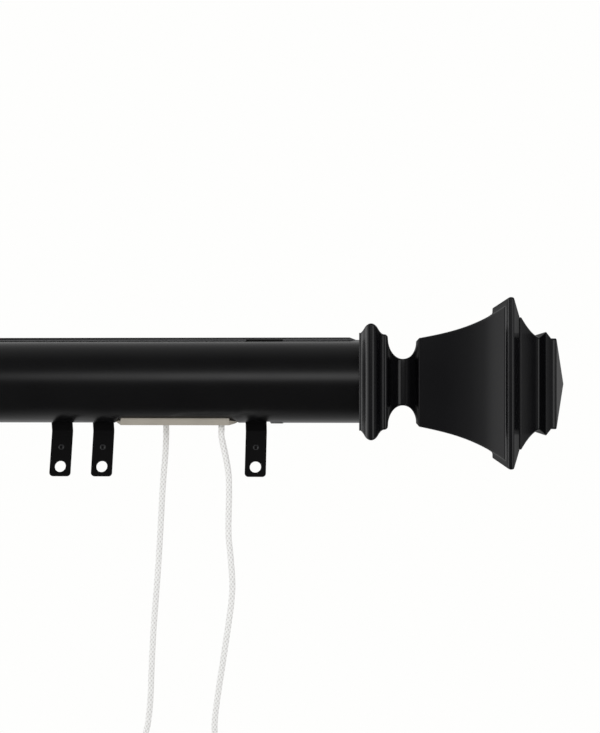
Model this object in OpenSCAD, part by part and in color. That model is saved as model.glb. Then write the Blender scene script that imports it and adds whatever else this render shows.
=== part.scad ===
// Corded curtain track: a slotted round rod with square finials, hooks that hang
// from sliders inside it, and the endless cord that draws them past a pulley block.
// X runs along the rod, the room side is -Y and Z points up.
// The origin is the middle of the bracket rail's top face.

/* [Rod] */
// Length of the rod without its finials
rod_l = 711.2; // [690:0.1:760]
// Outer diameter of the rod
rod_d = 38.1; // [37.5:0.1:40]
// Wall of the rod
rod_wall = 1.2; // [0.8:0.1:1.4]
// Width of the slot that the hooks hang through
slot_w = 8; // [7.6:0.1:9]
// Length of the loading gate near each end
gate_l = 16.6; // [12:0.1:18]
// Width of the loading gate
gate_w = 12; // [9.2:0.1:12.4]
// Distance from the rod's end to the middle of the gate
gate_inset = 43.3; // [38:0.1:50]
// Length of the plug in each end of the rod
plug_l = 16; // [12:0.5:18]

/* [Bracket rail] */
// Width of the flat rail on top of the rod
rail_w = 6; // [5:0.1:12]
// Thickness of the rail
rail_t = 1; // [0.8:0.1:1.4]
// Distance from the rail's ends to the rod's ends
rail_inset = 2; // [1:0.1:5]
// Length of the sloped end of the rail
rail_slope = 2.6; // [1:0.1:4]
// Radius of the rivets' shanks
rivet_r = 1.5; // [1:0.1:2]
// Height of the rivets' heads
rivet_head_h = 0.7; // [0.4:0.1:0.8]
// Rivets on each half of the rail
rivet_count = 3; // [2:1:4]
// Distance from the last rivet to the gate
rivet_margin = 14; // [6:1:24]

/* [Finials] */
// Width of the finial where it meets the rod
base_w = 42.4; // [41:0.1:46]
// Length of the flat ledge at the rod
ledge_l = 0.5; // [0.3:0.1:2]
// Length of the curve up to the bead
rise_l = 4.4; // [3:0.1:6]
// Width across the bead
bead_w = 50.5; // [48:0.1:56]
// Length of the bead's flat top
bead_l = 0.8; // [0.4:0.1:2]
// Length of the curve down from the bead
fall_l = 5; // [3:0.1:7]
// Length of the round edge at the neck
round_l = 1.9; // [1:0.1:3]
// Height of the round edge at the neck
round_h = 1.5; // [1:0.1:2]
// Width at both ends of the neck
collar_w = 38.8; // [36:0.1:42]
// Width of the neck at its narrowest
neck_w = 20.8; // [16:0.1:28]
// Length of the neck
neck_l = 13.4; // [10:0.1:20]
// Length of the flared head
flare_l = 36; // [30:0.1:45]
// Width of the flare where the rim starts
flare_w = 65.4; // [60:0.1:70]
// Share of the flare's rise that is an even slope
flare_lead = 0.52; // [0.3:0.01:0.8]
// Width across the rim
rim_w = 73; // [70:0.1:84]
// Length of the cove behind the rim
rim_back_l = 1.2; // [0.6:0.1:2]
// Drop from the rim's front edge to its back edge
rim_drop = 0.5; // [0.2:0.1:1.2]
// Length of the rim
rim_l = 2.7; // [2:0.1:5]
// Length of the bevel in front of the rim
bevel_l = 3.1; // [2:0.1:5]
// Width across the lip
lip_w = 56.8; // [52:0.1:64]
// Length of the lip
lip_l = 0.7; // [0.6:0.1:2]
// Length of the hollow in front of the lip
hollow_l = 8.8; // [6:0.1:12]
// Width in the groove behind the cap
groove_w = 40.4; // [36:0.1:44]
// Length from the groove to the cap's edge
cap_rise_l = 2.5; // [1.5:0.1:4]
// Width across the cap's edge
cap_w = 45.2; // [44:0.1:50]
// Length from the cap's edge to the crown
cap_fall_l = 2.6; // [1.5:0.1:4]
// Width of the crown under the point
crown_w = 39.6; // [36:0.1:44]
// Length of the crown
crown_l = 2.3; // [1:0.1:4]
// Length of the pyramid on the crown
point_l = 5.9; // [4:0.1:10]
// Radius of the stud that holds a finial
stud_r = 3; // [2:0.1:4]
// Depth of the stud in the finial
stud_depth = 26; // [15:0.5:40]

/* [Hooks and sliders] */
// Width of a hook
hook_w = 9.6; // [8:0.1:10.5]
// Thickness of the hook's sheet steel
hook_t = 1.2; // [0.8:0.1:1.4]
// Length of a hook from its pivot to the bend
hook_neck_l = 8.3; // [7.8:0.1:10]
// Length of a hook below the bend
hook_leaf_l = 21.2; // [18:0.1:26]
// Backward slope of a hook above the bend
hook_back = 15; // [8:0.5:16]
// Forward slope of a hook below the bend
hook_lean = 14; // [8:0.5:20]
// Radius of the hook's lower corners
hook_corner_r = 1.6; // [0.8:0.1:2.4]
// Diameter of the eye that takes a curtain hook
eye_d = 5.5; // [4.6:0.1:6]
// Distance from the middle of the eye to the hook's end
eye_inset = 4.5; // [4:0.1:6]
// Distance from the pressed dimple to the eye
dimple_rise = 9; // [6:0.1:10.5]
// Radius of the dimple
dimple_r = 1.1; // [0.8:0.1:1.6]
// Height of the dimple
dimple_h = 0.45; // [0.2:0.05:0.7]
// Radius of the rolled knuckle on the pivot
knuckle_r = 2.2; // [1.9:0.1:2.3]
// Radius of the pivot pin
pin_r = 1; // [0.8:0.1:1.2]
// Height of the pivot above the inside of the rod
pivot_rise = 3.3; // [3:0.1:3.6]
// Width of a slider
slider_w = 13; // [12.9:0.1:14]
// Height of a slider above its pivot
slider_rise = 4; // [3.8:0.1:5]
// Thickness of a slider's cheeks
cheek_t = 1.9; // [1.4:0.1:2.4]
// Length of a master slider
master_l = 24; // [20:0.5:30]
// Distance from the rod's end to the fixed end hook
end_hook_inset = 47.5; // [46:0.1:49]
// Gap from the pulley block to the first hook
first_gap = 2.3; // [2:0.1:8]
// Distance from the first hook to the second
second_gap = 19.2; // [18:0.1:24]
// Distance from the second hook to the master
master_gap = 54; // [40:0.5:70]

/* [Pulley block] */
// Distance from the rod's end to the middle of the block
block_inset = 83.1; // [82:0.1:90]
// Length of the block without its pointed ends
block_l = 49; // [48:0.1:54]
// Length of each pointed end
block_point = 3.3; // [1:0.1:3.6]
// Width of the block in the rod's cut-out
block_w = 19.4; // [19:0.1:21]
// Width of the ledge that the housing has beside the rod's cut-out
housing_ledge = 2; // [1:0.1:3]
// Height of the plate that closes the block
plate_h = 3.5; // [3:0.1:4]
// Height of the plate's points above its underside
plate_point_h = 1.4; // [0.8:0.1:2]
// Distance that the plate stands below the rod
plate_drop = 0.75; // [0.4:0.05:1.2]
// Height of the block above the rod's axis
block_top = 3; // [2.6:0.1:5]
// Distance between the plate's screws
screw_pitch = 42; // [41.5:0.1:43]
// Radius of the plate's screws
screw_r = 1.25; // [1:0.05:1.4]
// Depth of the plate's screws in the housing
screw_depth = 7; // [5:0.5:9]

/* [Pulleys and cord] */
// Diameter of the cord
cord_d = 2.8; // [2.4:0.1:3]
// Distance of each run of the cord from the middle of the rod
cord_y = 5; // [4.9:0.1:5.2]
// Height of the runs above the rod's axis
cord_z = -1; // [-1.4:0.1:-0.6]
// Radius of the cord's bend over the block's pulleys
pulley_pitch_r = 6; // [5.8:0.1:6.4]
// Width of a pulley
pulley_w = 5.4; // [5.2:0.1:5.6]
// Height of a pulley's flanges above the cord's middle
flange_h = 1.4; // [1:0.1:1.6]
// Radius of the pulleys' axles
axle_r = 1.5; // [1:0.1:1.6]
// Distance from the middle of the block to the left fall of the cord
fall_left_dx = -6.5; // [-7:0.1:-6]
// Distance from the middle of the block to the right fall of the cord
fall_right_dx = 20.5; // [20.2:0.1:20.8]
// Thickness of the cheeks and the web of the return pulley's fork
fork_t = 2; // [1.5:0.1:2.6]
// Radius of the ferrule that ties a master to the cord
ferrule_r = 2.8; // [2.5:0.1:3.2]
// Length of the ferrule
ferrule_l = 12; // [8:0.5:16]
// Wall of the master's post around its ferrule
post_wall = 1.4; // [1:0.1:1.6]

/* [Hank] */
// Loops in each layer of the hank
hank_loops = 4; // [3:1:5]
// Straight length of the hank's runs
hank_run = 50; // [42:1:56]
// Radius of the innermost fold
hank_fold_r = 8.4; // [8.4:0.1:10]
// Step from one loop to the next
hank_step = 4.4; // [4.3:0.1:5]
// Distance between the hank's two layers
hank_layer = 3.4; // [3.3:0.1:4]
// Share by which the tie draws the waist in
hank_pinch = 0.25; // [0.1:0.01:0.25]
// Height of the tie's band
tie_h = 6; // [4:0.5:10]
// Thickness of the tie's band
tie_t = 1.2; // [0.8:0.1:2]

/* [Clearances] */
// Gap between pieces that are fixed together
seat_gap = 0.02; // [0.01:0.01:0.05]
// Radial gap of a pin in what turns on it
run_gap = 0.05; // [0.03:0.01:0.08]
// Gap between pieces that move past each other
slide_gap = 0.3; // [0.25:0.05:0.4]
// Gap around the cord
cord_gap = 0.3; // [0.25:0.05:0.4]

/* [Hidden] */
$fn = 64;
small_fn = 32;
past = 1;

rod_r = rod_d / 2;
bore_r = rod_r - rod_wall;
rod_end = rod_l / 2;
axis_z = -(rod_r + rail_t);

gate_x = rod_end - gate_inset;
rivet_last = gate_x - gate_l / 2 - rivet_margin;
rivet_foot_r = 2 * rivet_r;
rivet_foot_h = rivet_r / 2;

base_l = ledge_l + rise_l + bead_l + fall_l + round_l;
ogee_curve = 1.25;
flare_curve = 3;
hollow_curve = 1.5;

pivot_z = -(bore_r - pivot_rise);
pocket_l = hook_w + 2 * slide_gap;
slider_l = pocket_l + 2 * cheek_t;
pocket_w = 2 * (knuckle_r + 2 * slide_gap);
pocket_rise = knuckle_r + slide_gap;
slider_top = pivot_z + slider_rise;

block_x = rod_end - block_inset;
block_tip = block_l / 2 + block_point;
plate_bottom = -(rod_r + plate_drop);
plate_top = plate_bottom + plate_h;
cut_w = block_w + 2 * slide_gap;
housing_w = cut_w + 2 * housing_ledge;
first_x = block_x - block_tip - first_gap - hook_w / 2;
second_x = first_x - second_gap;
master_x = second_x - master_gap;
end_x = rod_end - end_hook_inset;

cord_r = cord_d / 2;
pulley_r = pulley_pitch_r + flange_h;
groove_flare = flange_h / 4;
pulley_z = cord_z - pulley_pitch_r;
rear_pulley_x = block_x + fall_left_dx - pulley_pitch_r;
front_pulley_x = block_x + fall_right_dx - pulley_pitch_r;
return_pitch_r = cord_y;
return_r = return_pitch_r + flange_h;
fork_reach = return_r / 2;
return_x = -(rod_end - plug_l - fork_t - 2 * slide_gap - return_r);
axle_l = pulley_w + 2 * fork_t;
post_r = ferrule_r + post_wall;

// The falls hang from the block and the hank: points from the middle of the block, on the rod's axis
fall_left_route = [
    [-6.5, 5, -25], [-6.8, 5, -32], [-7.4, 4.8, -40], [-8.1, 4.5, -50], [-8.8, 4.2, -64],
    [-9.7, 3.8, -81], [-10.8, 3.4, -97], [-12, 3, -114], [-12.8, 2.5, -131], [-13.3, 2.1, -146],
    [-14.6, 1.9, -158], [-17, 1.7, -166], [-20.2, 1.7, -172.5], [-23, 1.7, -178.5], [-25.2, 1.7, -184.5]
];
fall_right_route = [
    [20.5, -5, -25], [22, -5, -32], [23.6, -4.9, -41], [23.9, -4.7, -50], [23.6, -4.4, -68],
    [24.4, -4.1, -78], [25.3, -3.8, -91], [24.7, -3.4, -101], [23, -3, -113], [20.6, -2.6, -129],
    [18, -2.2, -146], [16.9, -1.9, -157], [17.8, -1.7, -166], [20.2, -1.7, -174], [22.6, -1.7, -181.5]
];
// Height of the hank's middle
hank_z = -219;

loop_rings = 24;
run_rings = 4;
fold_rings = 8;
hank_rings = loop_rings * (2 * hank_loops - 1) + 2 * run_rings + fold_rings;
hank_turn = loop_rings * hank_loops;
hank_top = hank_z + hank_run / 2;
hank_out_r = hank_fold_r + hank_step * hank_loops;
hank_end_r = hank_radius(hank_rings);
lead = cord_d;

// Helpers for places and directions

module on_axis() {
    translate([0, 0, axis_z]) children();
}

module along_x(x = 0) {
    translate([x, 0, 0]) rotate([0, 90, 0]) children();
}

module along_y(y = 0) {
    translate([0, y, 0]) rotate([-90, 0, 0]) children();
}

module box(low, high) {
    translate(low) cube(high - low);
}

// Points round part of an ellipse, from angle a0 to a1
function ellipse_arc(middle, radii, a0, a1, steps) = [
    for (i = [0 : steps])
        let (a = a0 + (a1 - a0) * i / steps)
        [middle[0] + radii[0] * cos(a), middle[1] + radii[1] * sin(a)]
];

// Unit vector, and the direction of a path at point i
function unit(v) = v / norm(v);
function heading(path, i) =
    unit(path[min(i + 1, len(path) - 1)] - path[max(i - 1, 0)]);

// A closed tube along a path: rings of points square to it, joined by triangles and closed by fans.
// The side vector lies off every direction that the path takes.
module cord_tube(path, r, sides) {
    side = [0, 1, 1];
    count = len(path);
    points = [
        for (i = [0 : count - 1])
            let (t = heading(path, i), n = unit(cross(t, side)), b = cross(t, n))
            for (k = [0 : sides - 1])
                let (a = 360 * k / sides)
                path[i] + r * (cos(a) * n + sin(a) * b)
    ];
    walls = [
        for (i = [0 : count - 2])
            for (k = [0 : sides - 1])
                let (p = i * sides + k, q = i * sides + (k + 1) % sides)
                for (face = [[p, p + sides, q], [q, p + sides, q + sides]])
                    face
    ];
    last = (count - 1) * sides;
    ends = [
        for (k = [1 : sides - 2])
            for (face = [[0, k, k + 1], [last, last + k + 1, last + k]])
                face
    ];
    polyhedron(points = points, faces = concat(walls, ends));
}

// Rod and bracket rail

module bar(r, l) {
    along_x(-l / 2) cylinder(r = r, h = l);
}

module rod_tube() {
    slot_depth = rod_r + past;
    color("#1b1b1b") on_axis() difference() {
        bar(rod_r, rod_l);
        bar(bore_r, rod_l + 2 * past);
        box([-rod_end - past, -slot_w / 2, -slot_depth], [rod_end + past, slot_w / 2, 0]);
        for (side = [-1, 1])
            translate([side * gate_x, 0, 0]) {
                box([-gate_l / 2, -gate_w / 2, -slot_depth], [gate_l / 2, gate_w / 2, 0]);
                box([-gate_l / 2, -gate_w / 2, -past], [gate_l / 2, 0, slot_depth]);
            }
        cut_out(slot_depth);
        rivet_places() cylinder(r = rivet_r + seat_gap, h = slot_depth, $fn = small_fn);
    }
}

// The opening for the pulley block, with ends that slope as the plate's points do
module cut_out(depth) {
    flat = block_l / 2 + slide_gap;
    tip = block_tip + slide_gap;
    top = plate_top + slide_gap;
    middle = plate_bottom + plate_point_h + slide_gap;
    translate([block_x, 0, 0]) rotate([90, 0, 0]) linear_extrude(height = cut_w, center = true)
        polygon([[-tip, -depth], [tip, -depth], [tip, middle], [flat, top], [flat, pulley_z],
                 [-flat, pulley_z], [-flat, top], [-tip, middle]]);
}

module rivet_places() {
    for (i = [0 : 2 * rivet_count - 1])
        translate([rivet_last * (2 * i / (2 * rivet_count - 1) - 1), 0, 0]) children();
}

module bracket_rail() {
    half = rod_end - rail_inset;
    low = rod_r + seat_gap;
    high = rod_r + rail_t;
    color("#161616") on_axis() difference() {
        rotate([90, 0, 0]) linear_extrude(height = rail_w, center = true)
            polygon([[-half, low], [half, low], [half - rail_slope, high], [-half + rail_slope, high]]);
        rivet_places() {
            cylinder(r = rivet_r + seat_gap, h = high + past, $fn = small_fn);
            translate([0, 0, high - rivet_head_h])
                cylinder(r1 = rivet_r + seat_gap, r2 = rivet_r + seat_gap + rivet_head_h,
                         h = rivet_head_h, $fn = small_fn);
        }
    }
}

module rail_rivets() {
    high = rod_r + rail_t;
    inner = sqrt(bore_r * bore_r - rivet_foot_r * rivet_foot_r) - seat_gap;
    color("#222222") on_axis() rivet_places() {
        translate([0, 0, inner]) cylinder(r = rivet_r, h = high - inner, $fn = small_fn);
        translate([0, 0, high - rivet_head_h])
            cylinder(r1 = rivet_r, r2 = rivet_r + rivet_head_h, h = rivet_head_h, $fn = small_fn);
        translate([0, 0, inner - rivet_foot_h])
            cylinder(r = rivet_foot_r, h = rivet_foot_h, $fn = small_fn);
    }
}

// Finials: half widths along the finial, from the rod to the point

function finial_outline() =
    let (
        bead = bead_w / 2,
        base = base_w / 2,
        collar = collar_w / 2,
        round_top = collar + round_h,
        bead_at = ledge_l + rise_l,
        fall_at = bead_at + bead_l,
        round_at = fall_at + fall_l,
        flare_at = base_l + neck_l,
        rim_at = flare_at + flare_l,
        rim_back = rim_w / 2 - rim_drop,
        bevel_at = rim_at + rim_back_l + rim_l,
        hollow_at = bevel_at + bevel_l + lip_l,
        groove_at = hollow_at + hollow_l,
        crown_at = groove_at + cap_rise_l + cap_fall_l
    )
    concat(
        [[0, base]],
        [for (i = [0 : 6])
            let (t = i / 6)
            [ledge_l + rise_l * t, base + (bead - base) * pow(sin(90 * t), ogee_curve)]],
        [for (i = [0 : 6])
            let (t = i / 6)
            [fall_at + fall_l * t, round_top + (bead - round_top) * pow(cos(90 * t), ogee_curve)]],
        ellipse_arc([round_at, collar], [round_l, round_h], 75, 0, 3),
        ellipse_arc([base_l + neck_l / 2, collar], [neck_l / 2, collar - neck_w / 2], 195, 345, 10),
        [for (i = [0 : 7])
            let (t = i / 7, rise = flare_lead * t + (1 - flare_lead) * pow(t, flare_curve))
            [flare_at + flare_l * t, collar + (flare_w / 2 - collar) * rise]],
        ellipse_arc([rim_at, rim_back], [rim_back_l, rim_back - flare_w / 2], -67.5, 0, 3),
        [[bevel_at, rim_w / 2],
         [bevel_at + bevel_l, lip_w / 2]],
        [for (i = [0 : 5])
            let (t = i / 5)
            [hollow_at + hollow_l * t, groove_w / 2 + (lip_w - groove_w) / 2 * pow(1 - t, hollow_curve)]],
        [[groove_at + cap_rise_l, cap_w / 2],
         [crown_at, crown_w / 2],
         [crown_at + crown_l, crown_w / 2],
         [crown_at + crown_l + point_l, 0]]
    );

module finial_prism(outline) {
    last = len(outline) - 1;
    below = [for (i = [last - 1 : -1 : 0]) [outline[i][0], -outline[i][1]]];
    linear_extrude(height = rim_w + 2 * past, center = true) polygon(concat(outline, below));
}

module finial(side) {
    outline = finial_outline();
    color("#181818") on_axis() mirror([side < 0 ? 1 : 0, 0, 0]) translate([rod_end, 0, 0])
        difference() {
            intersection() {
                finial_prism(outline);
                rotate([90, 0, 0]) finial_prism(outline);
            }
            along_x(-past) cylinder(r = stud_r + seat_gap, h = stud_depth + past);
        }
}

module finial_stud(side) {
    color("#8d8f92") on_axis() mirror([side < 0 ? 1 : 0, 0, 0])
        along_x(rod_end - plug_l - fork_t) cylinder(r = stud_r, h = plug_l + fork_t + stud_depth - slide_gap);
}

module end_plug(side) {
    color("#2a2a2a") on_axis() mirror([side < 0 ? 1 : 0, 0, 0]) difference() {
        along_x(rod_end - plug_l) cylinder(r = bore_r - seat_gap, h = plug_l);
        along_x(rod_end - plug_l - past) cylinder(r = stud_r + seat_gap, h = plug_l + 2 * past);
    }
}

// Pulley block

module pulley_pocket(x, y) {
    half_w = pulley_w / 2 + slide_gap;
    half_l = pulley_r + 2 * slide_gap;
    box([x - half_l, y - half_w, plate_top - past], [x + half_l, y + half_w, pulley_z + half_l]);
}

module pulley_housing() {
    low_x = block_x - block_l / 2;
    high_x = block_x + block_l / 2;
    color("#a6a196") on_axis() difference() {
        union() {
            intersection() {
                bar(bore_r - slide_gap, rod_l);
                box([low_x, -housing_w / 2, plate_top], [high_x, housing_w / 2, block_top]);
            }
            box([low_x, -block_w / 2, plate_top], [high_x, block_w / 2, pulley_z]);
        }
        pulley_pocket(rear_pulley_x, cord_y);
        pulley_pocket(front_pulley_x, -cord_y);
        for (run = [[rear_pulley_x, cord_y], [front_pulley_x, -cord_y]])
            translate([0, run[1], cord_z]) along_x(low_x - past)
                cylinder(r = cord_r + 2 * cord_gap, h = run[0] - low_x + past, $fn = small_fn);
        axle_place(rear_pulley_x, cord_y) cylinder(r = axle_r + seat_gap, h = axle_l, center = true);
        axle_place(front_pulley_x, -cord_y) cylinder(r = axle_r + seat_gap, h = axle_l, center = true);
        screw_places() cylinder(r = screw_r + seat_gap, h = plate_h + screw_depth, $fn = small_fn);
    }
}

module axle_place(x, y) {
    translate([x, 0, pulley_z]) along_y(y) children();
}

module screw_places() {
    for (side = [-1, 1])
        translate([block_x + side * screw_pitch / 2, 0, plate_bottom]) children();
}

module screw_head(gap) {
    cylinder(r1 = 2 * screw_r + gap, r2 = screw_r + gap, h = screw_r, $fn = small_fn);
}

module saddle_plate() {
    flat = block_l / 2;
    middle = plate_bottom + plate_point_h;
    color("#a6a196") on_axis() difference() {
        translate([block_x, 0, 0]) rotate([90, 0, 0]) linear_extrude(height = block_w, center = true)
            polygon([[-flat, plate_top], [flat, plate_top], [block_tip, middle],
                     [flat, plate_bottom], [-flat, plate_bottom], [-block_tip, middle]]);
        for (fall = [[fall_left_dx, cord_y], [fall_right_dx, -cord_y]])
            translate([block_x + fall[0], fall[1], plate_bottom - past])
                cylinder(r = cord_r + 2 * cord_gap, h = plate_h + 2 * past, $fn = small_fn);
        screw_places() {
            cylinder(r = screw_r + seat_gap, h = plate_h + past, $fn = small_fn);
            screw_head(seat_gap);
        }
    }
}

module plate_screws() {
    color("#b4b5b7") on_axis() screw_places() {
        cylinder(r = screw_r, h = plate_h + screw_depth - slide_gap, $fn = small_fn);
        screw_head(0);
    }
}

// Grooved pulley round the Z axis, with its groove clear of the cord
module pulley(pitch_r) {
    floor_r = pitch_r - cord_r - cord_gap;
    floor_w = cord_r + cord_gap;
    rim_half = floor_w + groove_flare;
    outer_r = pitch_r + flange_h;
    half_w = pulley_w / 2;
    rotate_extrude() polygon([
        [axle_r + run_gap, -half_w], [outer_r, -half_w], [outer_r, -rim_half], [floor_r, -floor_w],
        [floor_r, floor_w], [outer_r, rim_half], [outer_r, half_w], [axle_r + run_gap, half_w]
    ]);
}

module rear_pulley() {
    color("#d9d6cc") on_axis() axle_place(rear_pulley_x, cord_y) pulley(pulley_pitch_r);
}

module front_pulley() {
    color("#d9d6cc") on_axis() axle_place(front_pulley_x, -cord_y) pulley(pulley_pitch_r);
}

module axle() {
    cylinder(r = axle_r, h = axle_l - 2 * slide_gap, center = true);
}

module rear_axle() {
    color("#b4b5b7") on_axis() axle_place(rear_pulley_x, cord_y) axle();
}

module front_axle() {
    color("#b4b5b7") on_axis() axle_place(front_pulley_x, -cord_y) axle();
}

// Return pulley at the far end of the cord, on a fork against the left plug

module return_place() {
    translate([return_x, 0, cord_z]) children();
}

module return_fork() {
    inner = pulley_w / 2 + slide_gap;
    web_x = -(rod_end - plug_l) - return_x;
    half_w = return_r;
    color("#a6a196") on_axis() difference() {
        return_place() {
            for (low = [-inner - fork_t, inner])
                box([web_x, -half_w, low], [fork_reach, half_w, low + fork_t]);
            box([web_x, -half_w, -inner], [web_x + fork_t, half_w, inner]);
        }
        along_x(-rod_end) cylinder(r = stud_r + seat_gap, h = plug_l + fork_t + past);
        return_place() cylinder(r = axle_r + seat_gap, h = axle_l + 2 * past, center = true);
    }
}

module return_pulley() {
    color("#d9d6cc") on_axis() return_place() pulley(return_pitch_r);
}

module return_axle() {
    color("#b4b5b7") on_axis() return_place() axle();
}

// Sliders, hooks and their pins

module slider_block(x, l) {
    intersection() {
        bar(bore_r - slide_gap, rod_l);
        box([x - l / 2, -slider_w / 2, -rod_r], [x + l / 2, slider_w / 2, slider_top]);
    }
}

module slider_cuts(x) {
    box([x - pocket_l / 2, -pocket_w / 2, -rod_r - past],
        [x + pocket_l / 2, pocket_w / 2, pivot_z + pocket_rise]);
    translate([0, 0, pivot_z]) along_x(x - slider_l / 2 - past)
        cylinder(r = pin_r + seat_gap, h = slider_l + 2 * past, $fn = small_fn);
}

module slider(x) {
    color("#dcdad2") on_axis() difference() {
        slider_block(x, slider_l);
        slider_cuts(x);
    }
}

// An end stop reaches past the far edge of the gate, and its lug fills that end of the opening
module end_stop(side) {
    near = end_x - slider_l / 2;
    far = gate_x + gate_l / 2;
    color("#232323") on_axis() mirror([side < 0 ? 1 : 0, 0, 0]) difference() {
        union() {
            slider_block((near + far + cheek_t) / 2, far + cheek_t - near);
            intersection() {
                bar(rod_r, rod_l);
                box([near + slider_l, -gate_w / 2 + seat_gap, -rod_r],
                    [far - seat_gap, gate_w / 2 - seat_gap, pivot_z]);
            }
        }
        slider_cuts(end_x);
    }
}

module master_slider(x, y) {
    color("#dcdad2") on_axis() difference() {
        union() {
            slider_block(x, master_l);
            box([x - ferrule_l / 2, y - post_r, slider_top - past],
                [x + ferrule_l / 2, y + post_r, cord_z + post_r]);
        }
        slider_cuts(x);
        translate([0, y, cord_z]) along_x(x - ferrule_l / 2 - past)
            cylinder(r = ferrule_r + seat_gap, h = ferrule_l + 2 * past, $fn = small_fn);
    }
}

module cord_ferrule(x, y) {
    color("#c2a262") on_axis() translate([0, y, cord_z]) difference() {
        along_x(x - ferrule_l / 2) cylinder(r = ferrule_r, h = ferrule_l, $fn = small_fn);
        along_x(x - ferrule_l / 2 - past)
            cylinder(r = cord_r + cord_gap, h = ferrule_l + 2 * past, $fn = small_fn);
    }
}

module hook_pin(x) {
    color("#b4b5b7") on_axis() translate([0, 0, pivot_z]) along_x(x - slider_l / 2)
        cylinder(r = pin_r, h = slider_l, $fn = small_fn);
}

// The flat leaf below a hook's bend, hanging from the origin
module hook_leaf() {
    eye_z = -(hook_leaf_l - eye_inset);
    corner_x = hook_w / 2 - hook_corner_r;
    corner_z = -(hook_leaf_l - hook_corner_r);
    rotate([90, 0, 0]) linear_extrude(height = hook_t, center = true) difference() {
        union() {
            translate([-hook_w / 2, corner_z]) square([hook_w, -corner_z]);
            translate([-corner_x, -hook_leaf_l]) square([2 * corner_x, hook_leaf_l]);
            for (side = [-1, 1])
                translate([side * corner_x, corner_z]) circle(r = hook_corner_r, $fn = small_fn);
        }
        translate([0, eye_z]) circle(d = eye_d);
    }
    translate([0, 0, eye_z + dimple_rise]) along_y(-hook_t / 2 - dimple_h)
        cylinder(r1 = dimple_r / 2, r2 = dimple_r, h = dimple_h + hook_t / 2, $fn = small_fn);
}

module hook(x) {
    color("#141414") on_axis() translate([x, 0, pivot_z]) difference() {
        union() {
            along_x(-hook_w / 2) cylinder(r = knuckle_r, h = hook_w, $fn = small_fn);
            rotate([hook_back, 0, 0]) {
                box([-hook_w / 2, -hook_t / 2, -hook_neck_l], [hook_w / 2, hook_t / 2, 0]);
                translate([0, 0, -hook_neck_l]) {
                    along_x(-hook_w / 2) cylinder(r = hook_t / 2, h = hook_w, $fn = small_fn);
                    rotate([-hook_back - hook_lean, 0, 0]) hook_leaf();
                }
            }
        }
        along_x(-hook_w / 2 - past) cylinder(r = pin_r + run_gap, h = hook_w + 2 * past, $fn = small_fn);
    }
}

// Cord: the runs inside the rod, the two falls and the hank

// Points round a quarter or half bend in the plane of two unit vectors
function bend(middle, r, from, to, a1, steps) = [
    for (i = [0 : steps])
        let (a = a1 * i / steps)
        middle + r * (cos(a) * from + sin(a) * to)
];

function run_path() = concat(
    [[block_x + fall_left_dx, cord_y, plate_bottom]],
    bend([rear_pulley_x, cord_y, pulley_z], pulley_pitch_r, [1, 0, 0], [0, 0, 1], 90, 5),
    bend([return_x, 0, cord_z], return_pitch_r, [0, 1, 0], [-1, 0, 0], 180, 10),
    bend([front_pulley_x, -cord_y, pulley_z], pulley_pitch_r, [0, 0, 1], [1, 0, 0], 90, 5),
    [[block_x + fall_right_dx, -cord_y, plate_bottom]]
);

module cord_run() {
    color("#d8d8d6") on_axis() cord_tube(run_path(), cord_r, 8);
}

// A fall starts straight down under the plate and ends straight down on the hank's outer run
module cord_fall(top, route, foot) {
    path = concat([top, top - [0, 0, lead]], route, [foot + [0, 0, lead], foot]);
    color("#d8d8d6") on_axis() translate([block_x, 0, 0]) cord_tube(path, cord_r, 8);
}

module cord_fall_left() {
    cord_fall([fall_left_dx, cord_y, plate_bottom], fall_left_route,
              [-hank_out_r, hank_layer / 2, hank_top + lead]);
}

module cord_fall_right() {
    cord_fall([fall_right_dx, -cord_y, plate_bottom], fall_right_route,
              [hank_end_r, -hank_layer / 2, hank_top + lead]);
}

// Half width of the loop at ring k: the back layer spirals in, the front layer out
function hank_radius(k) = hank_fold_r + hank_step * abs(hank_turn - k) / loop_rings;

// Share of the width that is left at a height above the hank's middle
function waist(z) = 1 - hank_pinch * pow(cos(180 * z / hank_run), 2);

// The climb from the back layer to the front one, along the innermost left run
function hank_y(k) =
    let (climb = min(max((k - hank_turn) / run_rings, 0), 1))
    hank_layer * (0.5 - climb);

// A loop goes down the left run, round the lower fold, up the right run and round the upper fold
function hank_point(k) =
    let (
        r = hank_radius(k),
        step = k % loop_rings,
        right_at = run_rings + fold_rings,
        upper_at = right_at + run_rings,
        half = hank_run / 2,
        down_z = half - hank_run * step / run_rings,
        up_z = hank_run * (step - right_at) / run_rings - half,
        low_a = 180 + 180 * (step - run_rings) / fold_rings,
        high_a = 180 * (step - upper_at) / fold_rings,
        flat = step < run_rings ? [-r * waist(down_z), down_z]
             : step < right_at ? [r * cos(low_a), r * sin(low_a) - half]
             : step < upper_at ? [r * waist(up_z), up_z]
             : [r * cos(high_a), r * sin(high_a) + half]
    )
    [flat[0], hank_y(k), flat[1]];

function hank_path() = concat(
    [[-hank_out_r, hank_layer / 2, hank_run / 2 + lead]],
    [for (k = [0 : hank_rings]) hank_point(k)],
    [[hank_end_r, -hank_layer / 2, hank_run / 2 + lead]]
);

// Least gap between parts of the hank that are more than half a fold apart
function least_gap(path) = min([
    for (i = [0 : len(path) - 1])
        for (j = [i + fold_rings / 2 + 1 : 1 : len(path) - 1])
            norm(path[i] - path[j])
]) - cord_d;

// Length of a path: its steps times a row of ones
function path_length(path) =
    let (steps = [for (i = [1 : len(path) - 1]) norm(path[i] - path[i - 1])])
    steps * [for (step = steps) 1];

module cord_hank() {
    path = hank_path();
    echo(hank_least_gap = least_gap(path), hank_length = path_length(path));
    color("#d8d8d6") on_axis() translate([block_x, 0, hank_z]) cord_tube(path, cord_r, 6);
}

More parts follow.
